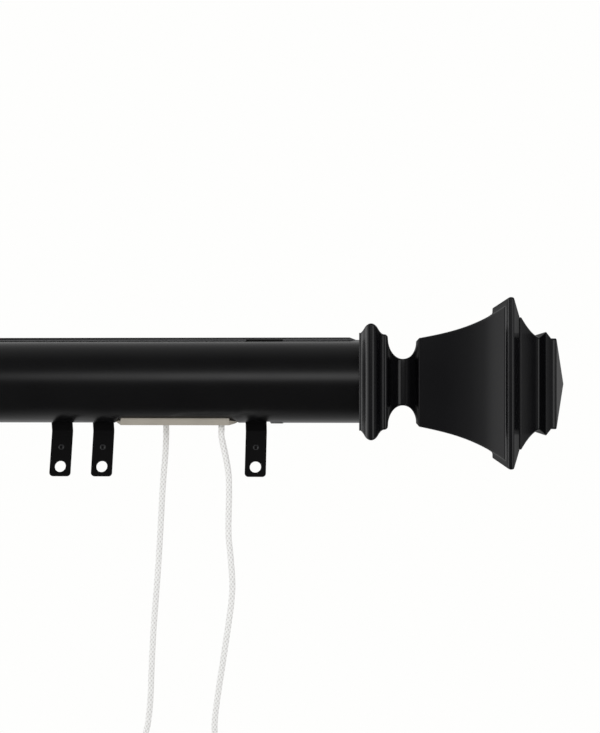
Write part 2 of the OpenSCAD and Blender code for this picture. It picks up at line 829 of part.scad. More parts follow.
module tie_outline(half_l, half_w) {
    square([2 * (half_l - half_w), 2 * half_w], center = true);
    for (side = [-1, 1]) translate([side * (half_l - half_w), 0]) circle(r = half_w);
}

module cord_tie() {
    half_w = hank_layer / 2 + cord_r + cord_gap;
    half_l = hank_out_r * (1 - hank_pinch) + half_w;
    color("#c9c9c7") on_axis() translate([block_x, 0, hank_z])
        linear_extrude(height = tie_h, center = true) difference() {
            tie_outline(half_l + tie_t, half_w + tie_t);
            tie_outline(half_l, half_w);
        }
}

rod_tube();
bracket_rail();
rail_rivets();
finial(1);  // finial_right
finial(-1);  // finial_left
finial_stud(1);  // finial_stud_right
finial_stud(-1);  // finial_stud_left
end_plug(1);  // end_plug_right
end_plug(-1);  // end_plug_left
pulley_housing();
saddle_plate();
plate_screws();
rear_pulley();
front_pulley();
rear_axle();
front_axle();
return_fork();
return_pulley();
return_axle();
end_stop(1);  // end_stop_right
hook_pin(end_x);  // end_pin_right
hook(end_x);  // end_hook_right
slider(first_x);  // slider_right_1
hook_pin(first_x);  // pin_right_1
hook(first_x);  // hook_right_1
slider(second_x);  // slider_right_2
hook_pin(second_x);  // pin_right_2
hook(second_x);  // hook_right_2
master_slider(master_x, -cord_y);  // master_slider_right
hook_pin(master_x);  // master_pin_right
hook(master_x);  // master_hook_right
cord_ferrule(master_x, -cord_y);  // cord_ferrule_right
end_stop(-1);  // end_stop_left
hook_pin(-end_x);  // end_pin_left
hook(-end_x);  // end_hook_left
slider(-first_x);  // slider_left_1
hook_pin(-first_x);  // pin_left_1
hook(-first_x);  // hook_left_1
slider(-second_x);  // slider_left_2
hook_pin(-second_x);  // pin_left_2
hook(-second_x);  // hook_left_2
master_slider(-master_x, cord_y);  // master_slider_left
hook_pin(-master_x);  // master_pin_left
hook(-master_x);  // master_hook_left
cord_ferrule(-master_x, cord_y);  // cord_ferrule_left
cord_run();
cord_fall_left();
cord_fall_right();
cord_hank();
cord_tie();
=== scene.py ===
"""Dresses the corded curtain track: painted rod and finials, bent hooks, braided cord and a plain studio.

Everything is in metres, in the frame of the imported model: X runs along the rod, the room side is -Y, Z is up.
"""

import contextlib
import math

import bmesh
import bpy
import numpy as np
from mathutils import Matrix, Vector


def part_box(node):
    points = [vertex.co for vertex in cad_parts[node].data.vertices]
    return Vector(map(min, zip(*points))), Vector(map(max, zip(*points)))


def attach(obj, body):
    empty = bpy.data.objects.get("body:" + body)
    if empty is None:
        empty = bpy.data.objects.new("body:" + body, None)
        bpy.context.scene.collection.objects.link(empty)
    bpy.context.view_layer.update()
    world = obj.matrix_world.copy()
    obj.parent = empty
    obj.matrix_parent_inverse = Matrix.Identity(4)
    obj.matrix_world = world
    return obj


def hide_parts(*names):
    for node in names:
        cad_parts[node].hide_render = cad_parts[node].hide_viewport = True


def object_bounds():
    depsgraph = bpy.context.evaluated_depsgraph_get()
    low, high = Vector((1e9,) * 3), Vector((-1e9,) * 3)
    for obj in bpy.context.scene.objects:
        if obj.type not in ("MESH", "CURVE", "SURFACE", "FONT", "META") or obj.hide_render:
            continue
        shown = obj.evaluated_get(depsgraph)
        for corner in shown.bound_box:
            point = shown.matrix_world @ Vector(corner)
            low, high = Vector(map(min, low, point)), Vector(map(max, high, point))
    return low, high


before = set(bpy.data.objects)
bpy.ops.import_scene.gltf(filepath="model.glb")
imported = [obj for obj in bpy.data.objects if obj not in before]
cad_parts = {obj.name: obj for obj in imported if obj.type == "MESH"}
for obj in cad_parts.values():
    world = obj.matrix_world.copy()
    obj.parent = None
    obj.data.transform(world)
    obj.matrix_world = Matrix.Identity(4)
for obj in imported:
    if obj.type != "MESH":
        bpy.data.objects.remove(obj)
CAD_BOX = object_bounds()

bl_info = {
    "name": "Corded curtain track",
    "version": (1, 0, 0),
    "blender": (4, 5, 0),
    "location": "View3D > Sidebar > Track",
    "description": "Makes the rod, finials, hooks, pulley block and cord of a corded curtain track",
    "category": "Object",
}

MM = 0.001
# Points nearer to each other than this, in metres, count as one
SAME_PLACE = 1e-6

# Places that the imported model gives
ROD_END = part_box("rod_tube")[1].x
RAIL_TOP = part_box("bracket_rail")[1].z
PLATE_LOW, PLATE_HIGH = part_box("saddle_plate")
BLOCK_X = (PLATE_LOW.x + PLATE_HIGH.x) / 2
PLATE_BOTTOM = PLATE_LOW.z

# The hooks, and the body that each one rides on
HOOK_BODIES = {
    f"{kind}_{side}{number}": f"{side}_{body}{number}"
    for side in ("right", "left")
    for kind, body, number in (
        ("end_hook", "end_hook", ""), ("hook", "hook", "_1"), ("hook", "hook", "_2"),
        ("master_hook", "master_hook", ""))
}

# Light that shiny faces see, by degrees round the rod: 0 is the room side, 90 above, 180 behind, -90 below
ROOM_BANDS = (
    (-180, 0.06), (-168, 0.1), (-150, 0.75), (-135, 0.6), (-119, 0.45), (-104, 0.3), (-91, 0.17),
    (-80, 0.07), (-8, 0.06), (36, 0.07), (52, 0.08), (64, 0.09), (76, 0.17), (90, 0.26), (110, 0.38),
    (126, 0.5), (145, 0.9), (166, 0.1), (180, 0.06),
)
FRONT_BAND = (
    (-180, 0.0), (-10, 0.0), (2, 0.14), (8, 0.9), (14, 1.55), (20, 1.15), (27, 0.28), (36, 0.06), (52, 0.0),
    (180, 0.0),
)
# Light that shiny faces see towards the rod's ends: -1 is straight left, 1 is straight right
SIDE_BANDS = (
    (-1.0, 2.2), (-0.97, 2.0), (-0.93, 0.9), (-0.84, 0.8), (-0.8, 0.6), (-0.765, 0.36), (-0.7, 0.3),
    (-0.62, 0.17), (-0.5, 0.1), (-0.36, 0.03), (-0.26, 0.0), (0.3, 0.0), (0.45, 0.16), (1.0, 0.2),
)
# The brightest light that a band can hold
BAND_PEAK = 2.5
# How bands fade as |x| grows: where the fade starts, where it ends and the share of light that is left
ROOM_FADE = (0.5, 0.9, 0.1)
FRONT_FADE = (0.14, 0.42, 0.0)

# Radiance of the even light on matt faces, and the white that the camera sees
ROOM_LIGHT = 0.62
ROOM_WHITE = "#fefefd"

# Soft boxes: place and aim in metres from the rod's axis, width and height, radiance, and whether shiny faces
# see them
SOFT_BOXES = {
    "Left soft box": ((-1.18, 0.06, 0.0), (0.42, 0.06, 0.0), (2.3, 0.9), 1.5, False),
    "Right soft box": ((1.77, 0.2, 0.0), (0.42, 0.2, 0.0), (1.4, 0.9), 0.4, False),
    "Front soft box": ((1.36, -1.28, 0.0), (0.4, 0.0, 0.0), (0.72, 0.9), 0.95, True),
    "Fill": ((0.6, -1.4, 0.9), (0.25, 0.0, 0.0), (1.2, 1.2), 1.6, False),
}

# The cord's falls, in millimetres from the middle of the block and the rod's axis, as the CAD route has them
FALL_LEFT_ROUTE = [
    (-6.5, 5, -25), (-6.8, 5, -32), (-7.4, 4.8, -40), (-8.1, 4.5, -50), (-8.8, 4.2, -64),
    (-9.7, 3.8, -81), (-10.8, 3.4, -97), (-12, 3, -114), (-12.8, 2.5, -131), (-13.3, 2.1, -146),
    (-14.6, 1.9, -158), (-17, 1.7, -166), (-20.2, 1.7, -172.5), (-23, 1.7, -178.5), (-25.2, 1.7, -184.5),
]
FALL_RIGHT_ROUTE = [
    (20.5, -5, -25), (22, -5, -32), (23.6, -4.9, -41), (23.9, -4.7, -50), (23.6, -4.4, -68),
    (24.4, -4.1, -78), (25.3, -3.8, -91), (24.7, -3.4, -101), (23, -3, -113), (20.6, -2.6, -129),
    (18, -2.2, -146), (16.9, -1.9, -157), (17.8, -1.7, -166), (20.2, -1.7, -174), (22.6, -1.7, -181.5),
]


def linear(code):
    """Linear RGBA of an sRGB hex colour: c / 12.92 when dark, else ((c + 0.055) / 1.055) to the power 2.4."""
    parts = np.array([int(code[i:i + 2], 16) for i in (1, 3, 5)]) / 255
    flat = np.where(parts <= 0.04045, parts / 12.92, ((parts + 0.055) / 1.055) ** 2.4)
    return (*flat.tolist(), 1.0)


def length(name, mm, description):
    """A length that is given in millimetres and kept in metres."""
    return bpy.props.FloatProperty(
        name=name, description=description, default=mm * MM, min=0.0, precision=5, unit="LENGTH")


def colour(name, code, description):
    """A colour that is given as an sRGB hex value and kept linear."""
    return bpy.props.FloatVectorProperty(
        name=name, description=description, default=linear(code), size=4, min=0.0, max=1.0, subtype="COLOR")


def share(name, default, description):
    """A number from 0 to 1."""
    return bpy.props.FloatProperty(
        name=name, description=description, default=default, min=0.0, max=1.0, subtype="FACTOR")


def angle(name, degrees, description):
    """An angle that is given in degrees and kept in radians."""
    return bpy.props.FloatProperty(
        name=name, description=description, default=math.radians(degrees), subtype="ANGLE")


def plain_number(name, default, description):
    """A number without a unit."""
    return bpy.props.FloatProperty(name=name, description=description, default=default)


class TrackRodSettings(bpy.types.PropertyGroup):
    """Sizes of the slotted rod and of its edges."""

    diameter: length("Diameter", 38.1, "Outside of the rod")
    wall: length("Wall", 1.2, "Thickness of the rod's steel")
    rail: length("Rail", 1.0, "Thickness of the rail on top of the rod")
    slot_width: length("Slot width", 8, "Slot that the hooks hang through")
    gate_length: length("Gate length", 16.6, "Length of the loading gate near each end")
    gate_width: length("Gate width", 12, "Width of the loading gate")
    gate_inset: length("Gate inset", 43.3, "From the rod's end to the middle of the gate")
    cut_width: length("Cut-out width", 19.6, "Width of the cut-out for the pulley block")
    cut_gap: length("Cut-out gap", 0.3, "Gap between the cut-out's ends and the plate's points")
    cut_slope: length("Cut-out slope", 3.3, "Length of the cut-out's sloped ends")
    point_height: length("Point height", 1.4, "Height of the plate's points above its underside")
    seam: length("Seam", 0.35, "Radius of the paint that fills the corner beside the rail")
    edge: length("Edge", 0.14, "Softness of the cut edges")
    step: length("Step", 24, "Longest face along the rod")
    turn: angle("Turn", 2.5, "Widest face around the rod")


class TrackFinialSettings(bpy.types.PropertyGroup):
    """Sizes of the square finials, from the rod to the point."""

    base_width: length("Base width", 42.8, "Across the base, where it meets the rod")
    ledge: length("Ledge", 0.5, "Length of the flat ledge at the rod")
    cove: length("Cove", 1.7, "Length of the cove up to the bead")
    bead_width: length("Bead width", 50.8, "Across the bead")
    bead: length("Bead", 6.1, "Length of the round bead")
    bead_drop: length("Bead drop", 2.2, "Drop from the bead's top to its sides")
    fall: length("Fall", 2.7, "Length of the curve down from the bead")
    round_length: length("Round length", 1.6, "Length of the round edge at the neck")
    round_height: length("Round height", 1.5, "Height of the round edge at the neck")
    collar_width: length("Collar width", 38.8, "Across both ends of the neck")
    neck_width: length("Neck width", 20.8, "Across the neck at its narrowest")
    neck: length("Neck", 13.4, "Length of the neck")
    flare: length("Flare", 36.0, "Length of the flared head")
    flare_width: length("Flare width", 65.4, "Across the flare where the rim starts")
    flare_lead: share("Flare lead", 0.52, "Share of the flare's rise that is an even slope")
    rim_width: length("Rim width", 73.0, "Across the rim")
    rim_back: length("Rim back", 1.2, "Length of the cove behind the rim")
    rim_drop: length("Rim drop", 0.7, "Drop from the rim's round middle to its edges")
    rim: length("Rim", 2.7, "Length of the rim")
    bevel: length("Bevel", 3.1, "Length of the bevel in front of the rim")
    lip_width: length("Lip width", 56.8, "Across the lip")
    lip: length("Lip", 0.7, "Length of the lip")
    hollow: length("Hollow", 8.8, "Length of the hollow in front of the lip")
    groove_width: length("Groove width", 40.4, "Across the groove behind the cap")
    cap_rise: length("Cap rise", 2.5, "Length from the groove to the cap's edge")
    cap_width: length("Cap width", 45.2, "Across the cap's edge")
    cap_fall: length("Cap fall", 2.6, "Length from the cap's edge to the crown")
    crown_width: length("Crown width", 39.6, "Across the crown under the point")
    crown: length("Crown", 2.3, "Length of the crown")
    point: length("Point", 5.9, "Length of the pyramid on the crown")
    edge: length("Edge", 0.45, "Length by which each edge of the outline is eased")
    corner: length("Corner", 0.9, "Radius of the mitred corners")
    droop: angle("Droop", 0.6, "Angle by which the finials hang down on their studs")


class TrackHookSettings(bpy.types.PropertyGroup):
    """Sizes of the bent sheet-steel hooks."""

    sheet: length("Sheet", 1.2, "Thickness of the steel")
    neck: length("Neck", 8.3, "From the pivot to the bend")
    leaf: length("Leaf", 21.2, "From the bend to the lower end")
    back: angle("Back", 15, "Backward slope above the bend")
    lean: angle("Lean", 14, "Forward slope below the bend")
    bend_radius: length("Bend radius", 2.4, "Radius of the bend in the middle of the sheet")
    corner: length("Corner", 1.6, "Radius of the lower corners")
    eye: length("Eye", 5.2, "Diameter of the eye")
    eye_inset: length("Eye inset", 4.5, "From the middle of the eye to the lower end")
    dimple_rise: length("Dimple rise", 9.0, "From the eye up to the pressed dimple")
    dimple_radius: length("Dimple radius", 1.3, "Radius of the dimple at its foot")
    dimple_height: length("Dimple height", 0.6, "Height of the dimple")
    knuckle: length("Knuckle", 2.2, "Outer radius of the knuckle on the pivot")
    edge: length("Edge", 0.16, "Softness of the sheared edges")


class TrackBlockSettings(bpy.types.PropertyGroup):
    """Sizes of the pulley block's plate."""

    flat: length("Flat", 49, "Length of the plate between its tongues")
    tongue: length("Tongue", 2.3, "Height of the tongues at the plate's ends")
    sink: length("Sink", 0.15, "Depth of the plate's top under the solid plate's")
    lift: length("Lift", 0.25, "Height of the plate's underside over the solid plate's")
    rise: length("Rise", 0.5, "Rise of the tongues' tips")
    reach: length("Reach", 0.5, "Reach of the tongues' tips past the solid plate's points")
    taper: share("Taper", 0.45, "Share of the plate's width that is left at the tips")


class TrackCordSettings(bpy.types.PropertyGroup):
    """Sizes of the braided cord and of its hank."""

    diameter: length("Diameter", 2.8, "Thickness of the cord")
    run_inset: length("Run inset", 5.0, "From the middle of the rod to each run of the cord")
    run_drop: length("Run drop", 1.0, "From the rod's axis down to the runs")
    pulley_radius: length("Pulley radius", 6.0, "Bend of the cord over the block's pulleys")
    left_exit: length("Left exit", 6.5, "From the middle of the block leftward to the left fall")
    right_exit: length("Right exit", 20.5, "From the middle of the block rightward to the right fall")
    hank_drop: length("Hank drop", 219, "From the rod's axis down to the middle of the hank")
    hank_run: length("Hank run", 50, "Straight length of the hank's runs")
    fold_radius: length("Fold radius", 8.4, "Radius of the innermost fold")
    loop_step: length("Loop step", 4.4, "From one loop to the next")
    layer: length("Layer", 3.4, "Between the hank's two layers")
    pinch: share("Pinch", 0.25, "Share by which the tie draws the waist in")
    loops: bpy.props.IntProperty(name="Loops", description="Loops in each layer", default=4, min=1)
    tie_height: length("Tie height", 6.0, "Height of the tie's band")
    tie_thickness: length("Tie thickness", 1.2, "Thickness of the tie's band")
    braid_pitch: length("Braid pitch", 2.2, "Length of one braid stitch along the cord")
    braid_relief: length("Braid relief", 0.08, "Height of the braid's strands")
    stitches: bpy.props.IntProperty(name="Stitches", description="Braid stitches around", default=5, min=3)


class TrackFinishSettings(bpy.types.PropertyGroup):
    """Colours and gloss of the finishes."""

    enamel: colour("Enamel", "#09090a", "Black enamel of the rod and rail")
    lacquer: colour("Lacquer", "#08080a", "Black lacquer of the finials")
    hook_paint: colour("Hook paint", "#050505", "Black paint of the hooks")
    # Lighter paint on the dimples' slopes is a painted highlight
    dimple_highlight_paint: colour("Dimple highlight", "#343436", "Lighter paint on the dimples' slopes, a painted highlight")
    # The seam's light grey is a painted highlight under the rail
    seam: colour("Seam", "#6a6a6c", "Light grey in the corner beside the rail, a painted highlight")
    plastic: colour("Moulded plastic", "#a9a398", "Beige plastic of the pulley block")
    nylon: colour("White nylon", "#dcdad2", "Sliders and pulleys")
    dark_nylon: colour("Black nylon", "#1b1b1c", "End stops and plugs")
    zinc: colour("Zinc", "#b9bbbd", "Plated pins, axles and screws")
    brass: colour("Brass", "#c2a262", "Ferrules")
    yarn: colour("Yarn", "#f2f2f1", "White polyester of the cord")
    yarn_shadow: colour("Yarn shadow", "#d4d3d1", "The cord between its strands")
    enamel_gloss: share("Enamel roughness", 0.22, "Roughness of the rod's enamel")
    lacquer_gloss: share("Lacquer roughness", 0.15, "Roughness of the finials' lacquer")


class TrackStudioSettings(bpy.types.PropertyGroup):
    """Camera, floor and lights."""

    camera_x: length("Camera along the rod", 365.12, "Place of the camera along the rod")
    camera_back: length("Camera distance", 545, "From the rod's axis to the camera")
    camera_rise: length("Camera rise", 0.0, "Height of the camera above the rod's axis")
    camera_turn: angle("Camera turn", 2.5, "Turn of the camera to the left")
    focal_pixels: plain_number("Focal length", 1198.4, "Focal length in pixels of the frame")
    frame_height: plain_number("Frame height", 733, "Height of the frame in pixels")
    shift_x: plain_number("Shift X", -0.039, "Sideways shift of the lens")
    shift_y: plain_number("Shift Y", 0.0208, "Upward shift of the lens")
    floor_gap: length("Floor gap", 60, "From the lowest point of the cord down to the floor")
    floor: colour("Floor", "#e9e8e5", "Pale floor")


def feed(tree, made, inputs):
    """Sets a node's inputs: each one is a value, or the socket that feeds it."""
    for name, value in inputs.items():
        if isinstance(value, bpy.types.NodeSocket):
            tree.links.new(value, made.inputs[name])
        else:
            made.inputs[name].default_value = value


def node(tree, kind, inputs=None, **settings):
    """Adds a shader node with its own settings and its inputs."""
    made = tree.nodes.new(kind)
    for name, value in settings.items():
        setattr(made, name, value)
    feed(tree, made, inputs or {})
    return made


def new_material(name):
    """An empty material: its node tree, its shader and the socket of its Object coordinates."""
    material = bpy.data.materials.new(name)
    material.use_nodes = True
    tree = material.node_tree
    shader = tree.nodes["Principled BSDF"]
    place = tree.nodes.new("ShaderNodeTexCoord").outputs["Object"]
    return material, tree, shader, place


def painted(name, base, second, roughness, peel_mm, peel_height_mm, shine=0.5):
    """Sprayed paint on metal or resin: a soft gloss that wavers, with faint orange peel and a few dust nibs.

    The peel is drawn at its real spacing, and the nibs are drawn about 0.5 mm wide so that they show.
    """
    cloud_mm = 26
    nib_spacing_mm = 17
    nib_mm = 0.25
    material, tree, shader, place = new_material(name)
    cloud = node(tree, "ShaderNodeTexNoise", {"Vector": place, "Scale": 1 / (cloud_mm * MM), "Detail": 3.0})
    peel = node(tree, "ShaderNodeTexNoise", {"Vector": place, "Scale": 1 / (peel_mm * MM), "Detail": 1.0})
    nibs = node(tree, "ShaderNodeTexVoronoi", {"Vector": place, "Scale": 1 / (nib_spacing_mm * MM)})
    nib = node(tree, "ShaderNodeMapRange", {
        "Value": nibs.outputs["Distance"], "From Min": 0.0, "From Max": nib_mm / nib_spacing_mm,
        "To Min": 1.0, "To Max": 0.0})
    gloss = node(tree, "ShaderNodeMapRange", {
        "Value": cloud.outputs["Fac"], "From Min": 0.3, "From Max": 0.7,
        "To Min": roughness * 0.9, "To Max": roughness * 1.12})
    tone = node(tree, "ShaderNodeMix", {
        "Factor": cloud.outputs["Fac"], "A": base, "B": linear(second)}, data_type="RGBA")
    height = node(tree, "ShaderNodeMath", {0: nib.outputs["Result"], 1: peel.outputs["Fac"]}, operation="ADD")
    bump = node(tree, "ShaderNodeBump", {
        "Height": height.outputs["Value"], "Strength": 0.5, "Distance": peel_height_mm * MM})
    feed(tree, shader, {
        "IOR": 1.5, "Specular IOR Level": shine, "Base Color": tone.outputs["Result"],
        "Roughness": gloss.outputs["Result"], "Normal": bump.outputs["Normal"]})
    return material


def moulded(name, base, second, roughness, grain_mm):
    """Injection-moulded plastic: an even matt skin with fine grain, slightly clouded by the mould's flow."""
    cloud_mm = 9
    material, tree, shader, place = new_material(name)
    cloud = node(tree, "ShaderNodeTexNoise", {"Vector": place, "Scale": 1 / (cloud_mm * MM), "Detail": 4.0})
    grain = node(tree, "ShaderNodeTexNoise", {"Vector": place, "Scale": 1 / (grain_mm * MM), "Detail": 2.0})
    tone = node(tree, "ShaderNodeMix", {
        "Factor": cloud.outputs["Fac"], "A": base, "B": linear(second)}, data_type="RGBA")
    gloss = node(tree, "ShaderNodeMapRange", {
        "Value": grain.outputs["Fac"], "To Min": roughness * 0.85, "To Max": roughness * 1.15})
    bump = node(tree, "ShaderNodeBump", {
        "Height": grain.outputs["Fac"], "Strength": 0.25, "Distance": 0.03 * MM})
    feed(tree, shader, {
        "IOR": 1.5, "Base Color": tone.outputs["Result"], "Roughness": gloss.outputs["Result"],
        "Normal": bump.outputs["Normal"]})
    return material


def plated(name, base, second, roughness, line_mm):
    """Turned metal with a thin plate or a bare cut: bright, with fine lines from the tool and dull patches.

    The lines are drawn about seven times as wide as the tool leaves them, so that they show.
    """
    patch_mm = 2.5
    coarseness = 20
    material, tree, shader, place = new_material(name)
    patch = node(tree, "ShaderNodeTexNoise", {"Vector": place, "Scale": 1 / (patch_mm * MM), "Detail": 3.0})
    lines = node(tree, "ShaderNodeTexWave", {
        "Vector": place, "Scale": 1 / (line_mm * MM * coarseness), "Distortion": 1.5},
        bands_direction="DIAGONAL")
    tone = node(tree, "ShaderNodeMix", {
        "Factor": patch.outputs["Fac"], "A": base, "B": linear(second)}, data_type="RGBA")
    gloss = node(tree, "ShaderNodeMapRange", {
        "Value": patch.outputs["Fac"], "To Min": roughness * 0.8, "To Max": roughness * 1.3})
    bump = node(tree, "ShaderNodeBump", {
        "Height": lines.outputs["Fac"], "Strength": 0.15, "Distance": 0.02 * MM})
    feed(tree, shader, {
        "Metallic": 1.0, "Base Color": tone.outputs["Result"], "Roughness": gloss.outputs["Result"],
        "Normal": bump.outputs["Normal"]})
    return material


def braided(name, base, shadow, stitches):
    """Braided polyester yarn: matt white strands that cross in diamonds, with darker gaps between them.

    The map's U runs once around the cord and V counts stitches along it, so the strands are
    cos(U * stitches) * cos(V). The yarn's own filaments are drawn a tenth of a strand wide so that they show.
    """
    filaments = 10
    material, tree, shader, _ = new_material(name)
    map_place = node(tree, "ShaderNodeUVMap", uv_map="braid")
    parts = node(tree, "ShaderNodeSeparateXYZ", {"Vector": map_place.outputs["UV"]})
    around = node(tree, "ShaderNodeMath", {
        0: parts.outputs["X"], 1: math.tau * stitches}, operation="MULTIPLY")
    along = node(tree, "ShaderNodeMath", {0: parts.outputs["Y"], 1: math.tau}, operation="MULTIPLY")
    round_wave = node(tree, "ShaderNodeMath", {0: around.outputs["Value"]}, operation="COSINE")
    long_wave = node(tree, "ShaderNodeMath", {0: along.outputs["Value"]}, operation="COSINE")
    weave = node(tree, "ShaderNodeMath", {
        0: round_wave.outputs["Value"], 1: long_wave.outputs["Value"]}, operation="MULTIPLY")
    lean = node(tree, "ShaderNodeMath", {
        0: around.outputs["Value"], 1: along.outputs["Value"]}, operation="ADD")
    fibre_turn = node(tree, "ShaderNodeMath", {
        0: lean.outputs["Value"], 1: filaments}, operation="MULTIPLY")
    fibre = node(tree, "ShaderNodeMath", {0: fibre_turn.outputs["Value"]}, operation="SINE")
    depth = node(tree, "ShaderNodeMapRange", {
        "Value": weave.outputs["Value"], "From Min": -1.0, "From Max": 0.35}, interpolation_type="SMOOTHSTEP")
    tone = node(tree, "ShaderNodeMix", {
        "Factor": depth.outputs["Result"], "A": shadow, "B": base}, data_type="RGBA")
    relief = node(tree, "ShaderNodeMath", {
        0: fibre.outputs["Value"], 1: 0.3, 2: weave.outputs["Value"]}, operation="MULTIPLY_ADD")
    bump = node(tree, "ShaderNodeBump", {
        "Height": relief.outputs["Value"], "Strength": 0.35, "Distance": 0.08 * MM})
    feed(tree, shader, {
        "Roughness": 0.75, "Sheen Weight": 0.2, "Specular IOR Level": 0.3,
        "Base Color": tone.outputs["Result"], "Normal": bump.outputs["Normal"]})
    return material


def woven_tape(name, base, shadow, thread_mm):
    """Plain-woven polyester tape: threads that cross over and under, drawn on Object coordinates."""
    material, tree, shader, place = new_material(name)
    turns = math.tau / (thread_mm * MM)
    parts = node(tree, "ShaderNodeSeparateXYZ", {"Vector": place})
    across = node(tree, "ShaderNodeMath", {0: parts.outputs["X"], 1: turns}, operation="MULTIPLY")
    upright = node(tree, "ShaderNodeMath", {0: parts.outputs["Z"], 1: turns}, operation="MULTIPLY")
    across_wave = node(tree, "ShaderNodeMath", {0: across.outputs["Value"]}, operation="SINE")
    upright_wave = node(tree, "ShaderNodeMath", {0: upright.outputs["Value"]}, operation="SINE")
    weave = node(tree, "ShaderNodeMath", {
        0: across_wave.outputs["Value"], 1: upright_wave.outputs["Value"]}, operation="MULTIPLY")
    depth = node(tree, "ShaderNodeMapRange", {
        "Value": weave.outputs["Value"], "From Min": -1.0, "From Max": 0.6})
    tone = node(tree, "ShaderNodeMix", {
        "Factor": depth.outputs["Result"], "A": shadow, "B": base}, data_type="RGBA")
    bump = node(tree, "ShaderNodeBump", {
        "Height": weave.outputs["Value"], "Strength": 0.5, "Distance": 0.08 * MM})
    feed(tree, shader, {
        "Roughness": 0.8, "Base Color": tone.outputs["Result"], "Normal": bump.outputs["Normal"]})
    return material


def finish(kind):
    """The material for a finish, made the first time that it is asked for.

    Each row has the finish's name, its maker and what the maker takes after the name.
    """
    tones = bpy.context.scene.track_finish
    stitches = bpy.context.scene.track_cord.stitches
    name, maker, *values = {
        "enamel": (
            "Black enamel on steel", painted, tones.enamel, "#0d0d0e", tones.enamel_gloss, 1.1, 0.004),
        "lacquer": (
            "Black lacquer on resin", painted, tones.lacquer, "#0c0c0e", tones.lacquer_gloss, 1.6, 0.004),
        "hook_paint": (
            "Black paint on sheet steel", painted, tones.hook_paint, "#080708", 0.42, 0.7, 0.012, 0.12),
        # The dimples' lighter paint is a painted highlight
        "dimple_highlight_paint": (
            "Painted highlight on sheet steel", painted, tones.dimple_highlight_paint, "#1c1c1d", 0.35, 0.5, 0.012),
        # The seam's light grey paints the highlight under the rail
        "seam": ("Painted highlight beside the rail", painted, tones.seam, "#4c4c4e", 0.4, 0.5, 0.012),
        "plastic": ("Moulded beige ABS", moulded, tones.plastic, "#979186", 0.45, 0.5),
        "nylon": ("Moulded white nylon", moulded, tones.nylon, "#cfccc2", 0.4, 0.6),
        "dark_nylon": ("Moulded black nylon", moulded, tones.dark_nylon, "#101011", 0.45, 0.5),
        "zinc": ("Zinc-plated steel", plated, tones.zinc, "#94979a", 0.3, 0.2),
        "brass": ("Turned brass", plated, tones.brass, "#a5854a", 0.28, 0.2),
        "cord": ("Braided polyester cord", braided, tones.yarn, tones.yarn_shadow, stitches),
        "tape": ("Woven polyester tape", woven_tape, tones.yarn, tones.yarn_shadow, 0.8),
    }[kind]
    return bpy.data.materials.get(name) or maker(name, *values)


def axis_z(rod):
    """Height of the rod's axis: its radius and the rail's thickness below the rail's top."""
    return RAIL_TOP - rod.rail - rod.diameter / 2


def grid_quads(rows, columns, wrap=False):
    """Corner numbers of a grid's quads, row by row. Wrap joins the last column to the first."""
    across = columns if wrap else columns - 1
    row, column = np.mgrid[0:rows - 1, 0:across]
    here = row * columns + column
    beside = row * columns + (column + 1) % columns
    return np.stack([here, beside, beside + columns, here + columns], axis=-1).reshape(-1, 4)


def stations(breaks, step):
    """Even steps between breaks: each stretch is cut into equal steps no longer than the given one."""
    slack = 1e-9
    parts = [
        np.linspace(low, high, max(int(math.ceil((high - low) / step - slack)), 1) + 1)[:-1]
        for low, high in zip(breaks[:-1], breaks[1:])
    ]
    return np.concatenate([*parts, breaks[-1:]])


def tube_faces(rows, columns):
    """Faces of a closed tube: the quads of its wall, then its first and its last ring."""
    first = list(range(columns))[::-1]
    last = list(range((rows - 1) * columns, rows * columns))
    return [*grid_quads(rows, columns, wrap=True).tolist(), first, last]


def new_mesh(name, points, faces):
    """A mesh from an array of points and its faces' corner numbers."""
    mesh = bpy.data.meshes.new(name)
    mesh.from_pydata(np.asarray(points).reshape(-1, 3).tolist(), [], faces)
    mesh.validate()
    return mesh


def add_object(name, mesh, material):
    """An object at the origin for a mesh that holds its own place, smooth and in one material."""
    mesh.materials.clear()
    mesh.materials.append(material)
    mesh.shade_smooth()
    made = bpy.data.objects.new(name, mesh)
    bpy.context.scene.collection.objects.link(made)
    return made


def make_piece(name, mesh, kind, body):
    """A piece of the track in a finish, which rides on a body."""
    piece = add_object(name, mesh, finish(kind))
    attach(piece, body)
    return piece


@contextlib.contextmanager
def editing(mesh):
    """Opens a mesh for bmesh's tools, and writes back what they made of it."""
    shape = bmesh.new()
    shape.from_mesh(mesh)
    yield shape
    shape.to_mesh(mesh)
    shape.free()


def merge(mesh, recalculate=False):
    """Joins points that fall together and drops loose ones; on request the faces are turned alike."""
    with editing(mesh) as shape:
        bmesh.ops.remove_doubles(shape, verts=shape.verts, dist=SAME_PLACE)
        loose = [point for point in shape.verts if not point.link_faces]
        bmesh.ops.delete(shape, geom=loose, context="VERTS")
        if recalculate:
            bmesh.ops.recalc_face_normals(shape, faces=shape.faces)


def thicken(piece, thickness, offset):
    """Gives a sheet its thickness; offset -1 keeps its face, 0 keeps its middle."""
    wall = piece.modifiers.new("Thickness", "SOLIDIFY")
    wall.thickness = thickness
    wall.offset = offset
    wall.use_even_offset = True


def ease_edges(piece, width):
    """Rounds the edges that turn by more than 35 degrees."""
    ease = piece.modifiers.new("Eased edges", "BEVEL")
    ease.width = width
    ease.segments = 2
    ease.limit_method = "ANGLE"
    ease.angle_limit = math.radians(35)
    ease.harden_normals = True


def keep_flat(piece, weight):
    """Shades flat faces flat: at the points that faces share, a wide face weighs more."""
    even = piece.modifiers.new("Flat faces stay flat", "WEIGHTED_NORMAL")
    even.mode = "FACE_AREA"
    even.weight = weight


